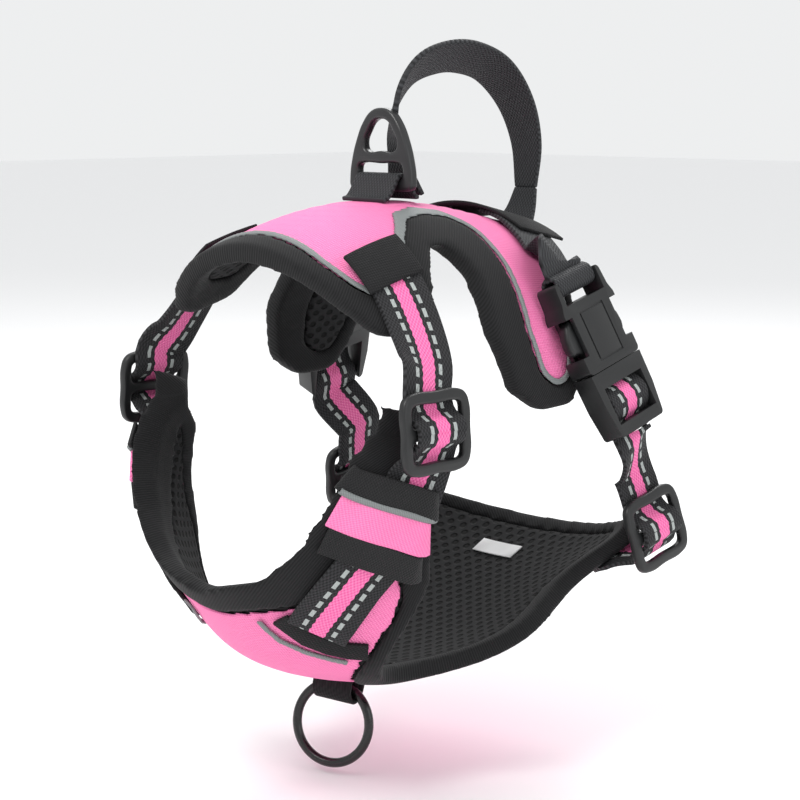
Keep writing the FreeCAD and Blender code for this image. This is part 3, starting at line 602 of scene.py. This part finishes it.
def on_shield(angle, spread, off):
    """Point on the chest panel: degrees down from straight ahead, degrees to the side, height off."""
    low, high = SHIELD_SHARES[0], SHIELD_SHARES[-1]
    for first, second in zip(SHIELD_SHARES, SHIELD_SHARES[1:]):
        if first[0] <= angle <= second[0]:
            low, high = first, second
    share = min(1.0, max(0.0, (angle - low[0]) / (high[0] - low[0])))
    wide = SHIELD_HALF * (low[1] + (high[1] - low[1]) * share) + off
    deep = SHIELD_REACH * (low[2] + (high[2] - low[2]) * share) + off
    across = wide * math.sin(math.radians(spread))
    out = deep * math.cos(math.radians(spread))
    turn = math.radians(angle)
    return Vector((across, SHIELD_BACK - out * math.cos(turn), SHIELD_UP - out * math.sin(turn)))


def facing(surface, a, b, step):
    """Outward direction of a panel at one place; step is the change in (a, b) to try."""
    first = surface(a + step[0], b, 0) - surface(a - step[0], b, 0)
    second = surface(a, b + step[1], 0) - surface(a, b - step[1], 0)
    out = surface(a, b, 0.001) - surface(a, b, 0)
    face = first.cross(second).normalized()
    return face if face.dot(out) > 0 else -face


def saddle_rows(places):
    return [(on_saddle(a, b, off), facing(on_saddle, a, b, (0.5, 0.0005))) for a, b, off in places]


def shield_rows(places):
    return [(on_shield(a, b, off), facing(on_shield, a, b, (0.5, 0.5))) for a, b, off in places]


class Fitting:
    """A buckle or slider: its middle, the way its webbing runs, its width and its face."""

    def __init__(self, middle, up):
        self.middle = Vector(middle)
        self.up = Vector(up).normalized()
        level = Vector((0, 1, 0))
        self.across = (level - self.up * level.dot(self.up)).normalized()
        self.out = self.across.cross(self.up)

    def at(self, across, up, out):
        """Point given in millimetres across, up and out of the fitting."""
        return self.middle + (self.across * across + self.up * up + self.out * out) * 0.001

    def rows(self, places):
        return [(self.at(0, up, out), self.out) for up, out in places]


joints = {joint["name"]: joint for joint in frame["joints"]}


def middle_of(name):
    low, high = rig.box(name)
    return (Vector(low) + Vector(high)) / 2


neck = Fitting(middle_of("neck_slider_left"), joints["neck_adjust_left"]["axis"])
girth = Fitting(middle_of("girth_slider_left"), joints["girth_adjust_left"]["axis"])
arm_roots = [Vector(joints[end + "_button_left"]["pos_m"]) for end in ("rear", "front")]
buckle_up = -Vector(joints["plug_release_left"]["axis"])
buckle = Fitting((arm_roots[0] + arm_roots[1]) / 2 - buckle_up * 0.0008, buckle_up)


def flipped(point):
    return Vector((-point.x, point.y, point.z))


def curve_through(rows, pitch):
    """Even steps along a smooth curve through (centre, face) rows."""
    points = [row[0] for row in rows]
    knots = [0.0]
    for first, second in zip(points, points[1:]):
        knots.append(knots[-1] + (second - first).length)
    count = max(4, round(knots[-1] / pitch))
    slopes = []
    for i in range(len(points)):
        before, after = max(0, i - 1), min(len(points) - 1, i + 1)
        slopes.append((points[after] - points[before]) / (knots[after] - knots[before]))
    out = []
    leg = 0
    for step in range(count + 1):
        run = knots[-1] * step / count
        while leg < len(points) - 2 and run > knots[leg + 1]:
            leg += 1
        span = knots[leg + 1] - knots[leg]
        t = (run - knots[leg]) / span
        centre = (points[leg] * (2 * t ** 3 - 3 * t ** 2 + 1) + slopes[leg] * span * (t ** 3 - 2 * t ** 2 + t)
                  + points[leg + 1] * (3 * t ** 2 - 2 * t ** 3) + slopes[leg + 1] * span * (t ** 3 - t ** 2))
        face = rows[leg][1].lerp(rows[leg + 1][1], t)
        extra = [a + (b - a) * t for a, b in zip(rows[leg][2:], rows[leg + 1][2:])]
        out.append((centre, face, run, *extra))
    return out


def strap(name, rows, width, thick, side="left", pitch=0.0022, cells=8, from_run=0.0):
    """Flat webbing: a grid laid along rows of (centre, face), then given its thickness."""
    if side == "right":
        rows = [(flipped(row[0]), flipped(row[1]), *row[2:]) for row in rows]
    run = curve_through(rows, pitch)
    bpy.ops.object.select_all(action="DESELECT")
    bpy.ops.mesh.primitive_grid_add(x_subdivisions=cells, y_subdivisions=len(run) - 1, size=1)
    piece = bpy.context.object
    piece.name = name
    placed = []
    for i, row in enumerate(run):
        ahead = (run[min(i + 1, len(run) - 1)][0] - run[max(i - 1, 0)][0]).normalized()
        across = ahead.cross(row[1]).normalized()
        wide = row[3] if len(row) > 3 else width
        placed.append((row[0], across, across.cross(ahead), row[2], wide))
    mesh = piece.data
    spots = {}
    for vertex in mesh.vertices:
        u = vertex.co.x
        centre, across, face, along, wide = placed[round((vertex.co.y + 0.5) * (len(run) - 1))]
        vertex.co = centre + across * (u * wide)
        spots[vertex.index] = (u * wide, along + from_run)
    layer = mesh.uv_layers.active
    for loop in mesh.loops:
        layer.data[loop.index].uv = spots[loop.vertex_index]
    solid = piece.modifiers.new("thickness", "SOLIDIFY")
    solid.thickness = thick
    solid.offset = 0
    soft = piece.modifiers.new("soft_edge", "BEVEL")
    soft.width = thick * 0.28
    soft.segments = 2
    soft.angle_limit = math.radians(50)
    apply_all(piece)
    bpy.ops.object.shade_smooth_by_angle(angle=math.radians(50))
    return piece


def finish_piece(piece, material, slot, body, *nodes):
    piece.data.materials.clear()
    piece.data.materials.append(material)
    if body:
        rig.ride(piece, body)
    if nodes:
        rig.replaces(piece, *nodes)
    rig.slot(piece, slot)


# ---------------------------------------------------------------- nylon webbing
# All the webbing is 25 mm nylon.  The adjustable runs are black with a pink stripe down the
# middle and a row of grey reflective stitches at each side of it; the rest is plain charcoal.

STRIPE_HALF = 0.0033
DASH_AT = 0.0062
DASH_HALF = 0.0009
DASH_PITCH = 0.0056
WEB_BLACK = (0.005, 0.005, 0.0055)
REFLECT = (0.40, 0.43, 0.42)


def math_node(material, operation, first, second=None, clamp=False):
    made = node(material, "ShaderNodeMath", operation=operation, use_clamp=clamp)
    for socket, value in zip(made.inputs, (first, second)):
        if value is None:
            continue
        if isinstance(value, (int, float)):
            socket.default_value = value
        else:
            wire(material, value, socket)
    return made.outputs[0]


def web_weave(material, ridge):
    """Basket weave along a strap's own length: height, and the strap's two directions."""
    place = node(material, "ShaderNodeUVMap")
    split = node(material, "ShaderNodeSeparateXYZ")
    wire(material, place.outputs["UV"], split.inputs[0])
    across, along = split.outputs["X"], split.outputs["Y"]
    warp = math_node(material, "SINE", math_node(material, "MULTIPLY", across, math.tau / 0.0016))
    weft = math_node(material, "SINE", math_node(material, "MULTIPLY", along, math.tau / ridge))
    cross = math_node(material, "MULTIPLY", warp, weft)
    height = math_node(material, "MULTIPLY_ADD", cross, 0.5)
    height.node.inputs[2].default_value = 0.5
    return across, along, height


def striped_web():
    material = new_material("striped_webbing", WEB_BLACK, 0.7)
    shader = shader_of(material)
    across, along, height = web_weave(material, 0.0021)
    ripple = math_node(material, "SINE", math_node(material, "MULTIPLY", along, math.tau / 0.0033))
    edge = math_node(material, "MULTIPLY_ADD", ripple, 0.00022)
    edge.node.inputs[2].default_value = STRIPE_HALF
    away = math_node(material, "ABSOLUTE", across)
    stripe = math_node(material, "LESS_THAN", away, edge)
    row = math_node(material, "COMPARE", away, DASH_AT)
    row.node.inputs[2].default_value = DASH_HALF
    beat = math_node(material, "FRACT", math_node(material, "DIVIDE", along, DASH_PITCH))
    dash = math_node(material, "MULTIPLY", row, math_node(material, "LESS_THAN", beat, 0.64))
    base = node(material, "ShaderNodeMix", data_type="RGBA")
    base.inputs["A"].default_value = (*WEB_BLACK, 1)
    base.inputs["B"].default_value = (0.035, 0.035, 0.038, 1)
    wire(material, height, base.inputs["Factor"])
    pink = node(material, "ShaderNodeMix", data_type="RGBA")
    pink.inputs["A"].default_value = (0.80, 0.10, 0.33, 1)
    pink.inputs["B"].default_value = (1.0, 0.26, 0.53, 1)
    wire(material, height, pink.inputs["Factor"])
    with_pink = node(material, "ShaderNodeMix", data_type="RGBA")
    wire(material, stripe, with_pink.inputs["Factor"])
    wire(material, base.outputs["Result"], with_pink.inputs["A"])
    wire(material, pink.outputs["Result"], with_pink.inputs["B"])
    with_dash = node(material, "ShaderNodeMix", data_type="RGBA")
    with_dash.inputs["B"].default_value = (*REFLECT, 1)
    wire(material, dash, with_dash.inputs["Factor"])
    wire(material, with_pink.outputs["Result"], with_dash.inputs["A"])
    wire(material, with_dash.outputs["Result"], shader.inputs["Base Color"])
    raised = math_node(material, "ADD", height, dash)
    bump = node(material, "ShaderNodeBump", Strength=0.7, Distance=0.0005)
    wire(material, raised, bump.inputs["Height"])
    wire(material, bump.outputs[0], shader.inputs["Normal"])
    shader.inputs["Sheen Weight"].default_value = 0.03
    shader.inputs["Specular IOR Level"].default_value = 0.25
    return material


def plain_web(name, low, high, ridge):
    material = new_material(name, low, 0.6)
    shader = shader_of(material)
    height = web_weave(material, ridge)[2]
    tone = node(material, "ShaderNodeMix", data_type="RGBA")
    tone.inputs["A"].default_value = (*low, 1)
    tone.inputs["B"].default_value = (*high, 1)
    wire(material, height, tone.inputs["Factor"])
    wire(material, tone.outputs["Result"], shader.inputs["Base Color"])
    bump = node(material, "ShaderNodeBump", Strength=0.7, Distance=0.0005)
    wire(material, height, bump.inputs["Height"])
    wire(material, bump.outputs[0], shader.inputs["Normal"])
    shader.inputs["Sheen Weight"].default_value = 0.03
    shader.inputs["Specular IOR Level"].default_value = 0.25
    return material


striped = striped_web()
charcoal_web = plain_web("charcoal_webbing", (0.006, 0.006, 0.007), (0.042, 0.044, 0.048), 0.0024)
keeper_cloth = plain_web("keeper_cloth", (0.005, 0.005, 0.0055), (0.018, 0.018, 0.019), 0.0012)

# ---------------------------------------------------------------- neck and lobe straps
# Striped webbing leaves the back panel under a patch, wraps the slider's middle bar, and comes
# back to run down the chest lobe under two keepers.

BAR_BEHIND = -2.9
BIGHT_FRONT = 4.4

for side in ("left", "right"):
    upper = saddle_rows([(38, -0.057, ON_BINDING), (47, -0.0575, ON_BINDING), (56, -0.058, ON_BINDING)])
    upper += [(neck.at(5, 26, -8), facing(on_saddle, 72, -0.06, (0.5, 0.0005)))]
    upper += neck.rows([(16, BAR_BEHIND), (9.5, BAR_BEHIND), (6.0, -0.6), (3.4, BIGHT_FRONT - 0.9), (0, BIGHT_FRONT)])
    lower = neck.rows([(0.6, BIGHT_FRONT - 0.25), (-3.4, BIGHT_FRONT - 0.9), (-6.0, -0.6), (-9.5, BAR_BEHIND)])
    lower += shield_rows([(4.5, 62.8, ON_BINDING), (12, 60, ON_BINDING), (22, 53, ON_BINDING), (31, 41, ON_BINDING),
                          (38, 30.5, ON_BINDING), (41, 26.3, 0.0014)])
    turn = (lambda p: p) if side == "left" else flipped
    for name, rows, sign, made_of in (("neck_run_", upper, 1, ["neck_strap_", "neck_bight_"]),
                                      ("lobe_run_", lower, -1, ["lobe_strap_"])):
        run = strap(name + side, rows, WEB_WIDE, WEB_THICK, side)
        finish_piece(run, striped, "striped_webbing", None, *[part + side for part in made_of])
        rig.blend(run, "harness", "neck_slider_" + side, turn(neck.at(0, 15 * sign, 0)), turn(neck.at(0, 3 * sign, 0)))

# ---------------------------------------------------------------- bands across the lobes
# Each lobe strap passes under three bands sewn edge to edge: black, pink and black, with a
# reflective piping folded into the upper seam.

UPPER_BAND = [(0.5, 49, 0), (2.5, 50.5, 0), (6, 56, 1), (11, 61, 1), (15.5, 64, 1), (17, 65, 0)]
PINK_BAND = [(9, 45.5, 0), (10.5, 47, 0), (14.5, 51.5, 1), (20, 56, 1), (26, 59, 1), (27.5, 60, 0)]
LOWER_BAND = [(16, 41.5, 0), (17.5, 43, 0), (21.5, 47, 1), (28, 51, 1), (34.5, 53.6, 1), (36, 54.6, 0)]
BAND_LOW = 0.0021
BAND_HIGH = 0.0047


def band_rows(line, lift=0.0):
    return shield_rows([(a, b, (BAND_HIGH if raised else BAND_LOW) + lift) for a, b, raised in line])


def tube(name, points, radius, side="left"):
    """Round cord along a smooth curve through points, capped, as a mesh."""
    curve = bpy.data.curves.new(name, "CURVE")
    curve.dimensions = "3D"
    curve.bevel_depth = radius
    curve.bevel_resolution = 3
    curve.use_fill_caps = True
    line = curve.splines.new("NURBS")
    line.points.add(len(points) - 1)
    for spot, point in zip(line.points, points):
        place = flipped(point) if side == "right" else point
        spot.co = (*place, 1)
    line.order_u = 3
    line.use_endpoint_u = True
    line.resolution_u = 6
    piece = bpy.data.objects.new(name, curve)
    bpy.context.scene.collection.objects.link(piece)
    alone(piece)
    bpy.ops.object.convert(target="MESH")
    edit(piece)
    bpy.ops.mesh.remove_doubles(threshold=1e-6)
    bpy.ops.mesh.normals_make_consistent(inside=False)
    leave_edit()
    bpy.ops.object.shade_smooth_by_angle(angle=math.radians(60))
    return piece


piping_cloth = cloth_material("reflective_piping", (0.13, 0.14, 0.14), (0.27, 0.29, 0.29), 6000, 0.5, 0.0002)

for side in ("left", "right"):
    for name, line, wide in (("upper_keeper_", UPPER_BAND, 0.0115), ("lower_keeper_", LOWER_BAND, 0.0115)):
        band = strap(name + "band_" + side, band_rows(line), wide, 0.0016, side)
        finish_piece(band, keeper_cloth, "black_patch", "harness", name + side)
    band = along_panel(strap("lobe_window_band_" + side, band_rows(PINK_BAND), 0.0135, 0.0014, side))
    finish_piece(band, pink_cloth, "pink_cover", "harness", "lobe_window_" + side)
    seam = []
    for upper, lower in zip(band_rows(UPPER_BAND, 0.0004), band_rows(PINK_BAND, 0.0004)):
        seam.append(upper[0].lerp(lower[0], 0.42) + upper[1] * 0.0004)
    cord = along_panel(tube("lobe_piping_" + side, seam, 0.0013, side))
    finish_piece(cord, piping_cloth, "reflective_piping", "harness")

# ---------------------------------------------------------------- girth straps
# Plain webbing comes off the back panel and loops round the socket's bar.  Striped webbing is
# held by the plug, runs down to a slider, and ends on the corner of the belly panel.

for side in ("left", "right"):
    turn = (lambda p: p) if side == "left" else flipped
    top = saddle_rows([(8, 0.052, ON_BINDING), (20, 0.047, ON_BINDING), (31, 0.042, ON_BINDING), (41, 0.037, 0.0032)])
    top += buckle.rows([(48, 0.4), (42.6, 0.0)])
    girth_top = strap("girth_top_" + side, top, WEB_WIDE, WEB_THICK, side)
    finish_piece(girth_top, charcoal_web, "black_webbing", "harness", "girth_web_" + side)
    wrap = buckle.rows([(43, 0.6), (41.2, 3.2), (38.4, 3.8), (35.6, 3.2), (34.4, 0.0), (35.6, -3.2), (38.4, -3.8),
                        (41.2, -3.2), (43, -0.6)])
    faces = [buckle.out, buckle.out + buckle.up, buckle.out, buckle.out - buckle.up, -buckle.up, -buckle.out - buckle.up,
             -buckle.out, -buckle.out + buckle.up, -buckle.out]
    wrap = [(row[0], face) for row, face in zip(wrap, faces)]
    loop = strap("girth_wrap_" + side, wrap, WEB_WIDE, WEB_THICK * 0.9, side, pitch=0.0012)
    finish_piece(loop, charcoal_web, "black_webbing", "harness", "girth_loop_" + side)

    held = buckle.rows([(-7.8, 0.0), (-9.5, 2.2), (-14.5, 4.2), (-19.5, 2.4), (-22.5, -1.4), (-25, -2.7), (-29.6, -2.7)])
    web = strap("plug_run_" + side, held, WEB_WIDE, WEB_THICK, side, pitch=0.0012)
    finish_piece(web, striped, "striped_webbing", "plug_" + side, "plug_web_" + side)
    down = buckle.rows([(-29.6, -2.7), (-33, -2.7)])
    down += girth.rows([(26, BAR_BEHIND - 0.9), (21, BAR_BEHIND - 0.3), (16, BAR_BEHIND), (12, BAR_BEHIND)])
    run = strap("girth_run_" + side, down, WEB_WIDE, WEB_THICK, side)
    finish_piece(run, striped, "striped_webbing", None, "girth_strap_" + side)
    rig.blend(run, "plug_" + side, "harness", turn(buckle.at(0, -31, 0)), turn(girth.at(0, 17, 0)))
    corner = girth.middle - Vector((0.018, 0, 0.012))
    upper = girth.rows([(12, BAR_BEHIND), (9.5, BAR_BEHIND), (6.0, -0.6), (3.4, BIGHT_FRONT - 0.9), (0, BIGHT_FRONT)])
    lower = girth.rows([(0.6, BIGHT_FRONT - 0.25), (-3.4, BIGHT_FRONT - 0.9), (-6.0, -0.6), (-9.0, BAR_BEHIND)])
    lower += [(girth.at(0, -10.6, -6.8), -girth.up), (corner, facing(on_shield, 143, 38, (0.5, 0.5))),
              (on_shield(143, 33, ON_BINDING), facing(on_shield, 143, 33, (0.5, 0.5)))]
    for name, rows, sign, made_of in (("girth_bend_", upper, 1, "girth_bight_"), ("belly_run_", lower, -1, "belly_tab_")):
        bend = strap(name + side, rows, WEB_WIDE, WEB_THICK, side, pitch=0.0015)
        finish_piece(bend, striped, "striped_webbing", None, made_of + side)
        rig.blend(bend, "harness", "girth_slider_" + side, turn(girth.at(0, 11 * sign, 0)), turn(girth.at(0, 3 * sign, 0)))

# ---------------------------------------------------------------- buckles, sliders and rings
# The buckles and sliders are moulded in charcoal acetal with soft edges and a fine satin
# surface.  The leash ring and the chest ring are coated metal.

PLASTIC = (0.0075, 0.008, 0.0085)


def satin(name, colour, rough, metal):
    material = new_material(name, colour, rough)
    shader = shader_of(material)
    spot = node(material, "ShaderNodeTexCoord")
    grain = node(material, "ShaderNodeTexNoise", Scale=900.0, Detail=3.0)
    wire(material, spot.outputs["Object"], grain.inputs["Vector"])
    worn = node(material, "ShaderNodeTexNoise", Scale=90.0, Detail=4.0)
    wire(material, spot.outputs["Object"], worn.inputs["Vector"])
    spread = node(material, "ShaderNodeMapRange")
    spread.inputs["To Min"].default_value = rough - 0.07
    spread.inputs["To Max"].default_value = rough + 0.09
    wire(material, worn.outputs["Fac"], spread.inputs["Value"])
    wire(material, spread.outputs[0], shader.inputs["Roughness"])
    tone = node(material, "ShaderNodeMix", data_type="RGBA")
    tone.inputs["A"].default_value = (*[c * 0.85 for c in colour], 1)
    tone.inputs["B"].default_value = (*[c * 1.25 for c in colour], 1)
    wire(material, worn.outputs["Fac"], tone.inputs["Factor"])
    wire(material, tone.outputs["Result"], shader.inputs["Base Color"])
    bump = node(material, "ShaderNodeBump", Strength=0.12, Distance=0.0003)
    wire(material, grain.outputs["Fac"], bump.inputs["Height"])
    wire(material, bump.outputs[0], shader.inputs["Normal"])
    shader.inputs["Metallic"].default_value = metal
    return material


satin_plastic = satin("satin_plastic", PLASTIC, 0.42, 0.0)
ring_coat = satin("coated_ring", (0.014, 0.0145, 0.0155), 0.33, 0.0)
black_coat = satin("black_coat", (0.006, 0.006, 0.006), 0.25, 0.0)


def moulded(name, edge, steps=3):
    """The fitting as it comes from its mould: the same shape, with every sharp edge eased."""
    piece = taken_from([name], name + "_moulded")
    edit(piece)
    bpy.ops.mesh.dissolve_limited(angle_limit=math.radians(1.5))
    leave_edit()
    ease = piece.modifiers.new("eased", "BEVEL")
    ease.width = edge
    ease.segments = steps
    ease.angle_limit = math.radians(28)
    ease.harden_normals = False
    apply_all(piece)
    bpy.ops.object.shade_smooth_by_angle(angle=math.radians(40))
    return piece


def plate(name, outlines, thick, edge, place, bow=0.0):
    """Flat fitting with round edges, from closed outlines in millimetres: the first is its rim."""
    curve = bpy.data.curves.new(name, "CURVE")
    curve.dimensions = "2D"
    curve.fill_mode = "BOTH"
    curve.extrude = thick / 2 - edge
    curve.bevel_depth = edge
    curve.bevel_resolution = 3
    curve.offset = -edge
    for points in outlines:
        line = curve.splines.new("BEZIER")
        line.bezier_points.add(len(points) - 1)
        for knot, (x, y) in zip(line.bezier_points, points):
            knot.co = (x / 1000, y / 1000, 0)
            knot.handle_left_type = knot.handle_right_type = "AUTO"
        line.use_cyclic_u = True
        line.resolution_u = 6
    piece = bpy.data.objects.new(name, curve)
    bpy.context.scene.collection.objects.link(piece)
    alone(piece)
    bpy.ops.object.convert(target="MESH")
    edit(piece)
    bpy.ops.mesh.remove_doubles(threshold=1e-6)
    bpy.ops.mesh.normals_make_consistent(inside=False)
    leave_edit()
    for vertex in piece.data.vertices:
        vertex.co.z += bow * (1 - (vertex.co.y / 0.0155) ** 2) if bow else 0.0
    piece.data.transform(place)
    bpy.ops.object.shade_smooth_by_angle(angle=math.radians(40))
    return piece


def rounded_box(half_x, low, high, corner):
    """Outline of a rectangle with round corners, three points to a corner."""
    cut = corner * 0.3
    right = [(half_x, low + corner), (half_x - cut, low + cut), (half_x - corner, low)]
    bottom = [(-x, y) for x, y in right[::-1]]
    top = [(x, high + low - y) for x, y in bottom[::-1]]
    left = [(x, high + low - y) for x, y in right[::-1]]
    middle = (low + high) / 2
    return right + [(0, low)] + bottom + [(-half_x, middle)] + top + [(0, high)] + left + [(half_x, middle)]


def placed_at(fitting, side):
    """Matrix that puts a flat fitting, drawn across and up, in its own frame."""
    columns = (fitting.across, fitting.up, fitting.out, fitting.middle)
    matrix = Matrix([[*(column[row] for column in columns)] for row in range(3)] + [[0, 0, 0, 1]])
    if side == "left":
        return matrix
    return Matrix.Diagonal((-1, 1, 1, 1)) @ matrix @ Matrix.Diagonal((-1, 1, 1, 1))


SLIDER_OUTLINES = [rounded_box(17.7, -15.5, 15.5, 6.0), rounded_box(13.4, 2.3, 10.9, 2.2),
                   rounded_box(13.4, -10.9, -2.3, 2.2)]

for side in ("left", "right"):
    for name, fitting in (("neck_slider_", neck), ("girth_slider_", girth)):
        frame_plate = plate(name + "frame_" + side, SLIDER_OUTLINES, 0.0036, 0.0012, placed_at(fitting, side), 0.0006)
        finish_piece(frame_plate, satin_plastic, "buckle_plastic", name + side, name + side)
    for name, edge, body in (("buckle_socket_", 0.0008, "harness"), ("buckle_plug_", 0.0008, "plug_" + side),
                             ("rear_arm_", 0.0016, "rear_arm_" + side), ("front_arm_", 0.0016, "front_arm_" + side)):
        fitting = moulded(name + side, edge)
        finish_piece(fitting, satin_plastic, "buckle_plastic", body, name + side)

RING_RIM = [(17.9, -1.2), (18.3, 3), (17.2, 10), (14.4, 18.5), (10.4, 26), (5.6, 30.6), (0, 31.8)]
RING_EYE = [(8.4, 14.2), (9.7, 17), (7.6, 22), (4.0, 26.2), (0, 27.2)]
ring_outlines = [
    [(0, -2.2), (16.4, -2.2)] + RING_RIM + [(-x, y) for x, y in RING_RIM[-2::-1]] + [(-16.4, -2.2)],
    [(0, 14.0)] + RING_EYE + [(-x, y) for x, y in RING_EYE[-2::-1]],
    rounded_box(13.2, 2.2, 8.8, 2.4),
]
ring_hinge = Vector(joints["leash_ring_swing"]["pos_m"])
upright_plate = Matrix.Translation(ring_hinge) @ Matrix.Rotation(math.radians(90), 4, "X")
leash_ring = plate("leash_ring_plate", ring_outlines, 0.0046, 0.0014, upright_plate)
finish_piece(leash_ring, ring_coat, "ring_plastic", "leash_ring", "leash_ring")
chest_ring = frame["nodes"]["chest_ring"]
chest_ring.data.materials[0] = black_coat

# ---------------------------------------------------------------- top handle and ring webbing
# One length of plain webbing rises in front, arches over and comes down to the rear patch.  It
# is pinched narrow where it is sewn at each foot.

HANDLE_ARCH = [(-2, 104.4), (-4, 116), (-1, 129), (9, 140), (24, 145.2), (40, 145.8), (58, 140.4), (73, 126),
               (80.5, 108), (80.6, 88.4)]
HANDLE_WIDE = [9, 12, 15, 17, 18, 19, 20, 20, 18, 12]
HANDLE_TWIST = [0, -34, -46, -50, -48, -40, -24, -6, 4, 0]
X_WAY = Vector((1, 0, 0))


def spine_rows(places, widths, twists=None):
    """Rows in the middle plane from (y, z) in millimetres, facing out of the arch."""
    points = [Vector((0, y / 1000, z / 1000)) for y, z in places]
    rows = []
    for i, point in enumerate(points):
        ahead = points[min(i + 1, len(points) - 1)] - points[max(i - 1, 0)]
        face = ahead.cross(X_WAY).normalized()
        if twists:
            face = Matrix.Rotation(math.radians(twists[i]), 3, ahead.normalized()) @ face
        rows.append((point, face, widths[i] / 1000))
    return rows


grip = strap("handle_grip", spine_rows(HANDLE_ARCH, HANDLE_WIDE, HANDLE_TWIST), 0.02, 0.0024)
finish_piece(grip, charcoal_web, "black_webbing", "handle", "handle")
front_foot = [(4, 88), (1, 96), (-2, 104.4)]
rear_foot = [(73.5, spine_height(0.0735) * 1000 + 2.8), (77.5, 79.5), (80.6, 88.4)]
for name, places, widths in (("handle_tab_front", front_foot, (20, 15, 9)), ("handle_tab_rear", rear_foot, (20, 16, 12))):
    foot = strap(name + "_web", spine_rows(places, widths), 0.02, 0.0024)
    finish_piece(foot, charcoal_web, "black_webbing", None, name)
    low, high = places[0], places[-1]
    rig.blend(foot, "harness", "handle", (0, low[0] / 1000, low[1] / 1000), (0, high[0] / 1000, high[1] / 1000))

tent = [(-22, 86.6), (-19, 87.5), (-14.4, 93.6), (-12.9, 96.1), (-10, 96.6), (-7.1, 96.1), (-5.6, 93.6), (-3, 87.6), (-1, 87.5)]
ring_strap = strap("ring_strap", spine_rows(tent, [25] * len(tent)), WEB_WIDE, WEB_THICK, pitch=0.0012)
finish_piece(ring_strap, charcoal_web, "black_webbing", "harness", "ring_webbing")

# ---------------------------------------------------------------- small sewn pieces
# Patches cover the ends of the straps, reflective piping marks the seams, and a white care
# label is sewn inside the belly panel.

patch_cloth = cloth_material("patch_cloth", (0.005, 0.005, 0.0055), (0.018, 0.018, 0.019), 4200, 0.8, 0.0004)
label_cloth = cloth_material("care_label", (0.8, 0.8, 0.8), (0.88, 0.88, 0.88), 6000, 0.6, 0.0001)

for name in ("rear_patch", "front_patch_left", "front_patch_right", "chest_border_left", "chest_border_right"):
    patch = along_panel(moulded(name, 0.0004, 2))
    finish_piece(patch, patch_cloth, "black_patch", "harness", name)
for name in ("back_piping", "chest_piping_left", "chest_piping_right"):
    piping = along_panel(remeshed(taken_from([name], name + "_cord"), 0.0006, 5))
    bpy.ops.object.shade_smooth()
    finish_piece(piping, piping_cloth, "reflective_piping", "harness", name)
label = along_panel(moulded("care_label", 0.0001, 1))
finish_piece(label, label_cloth, "white_label", "harness", "care_label")
chest_hold = along_panel(moulded("chest_loop", 0.0005, 2))
finish_piece(chest_hold, patch_cloth, "black_webbing", "harness", "chest_loop")

visual_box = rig.bounds()
with open("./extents.json", "w") as out:
    json.dump([[list(corner) for corner in cad_box], [list(corner) for corner in visual_box]], out)
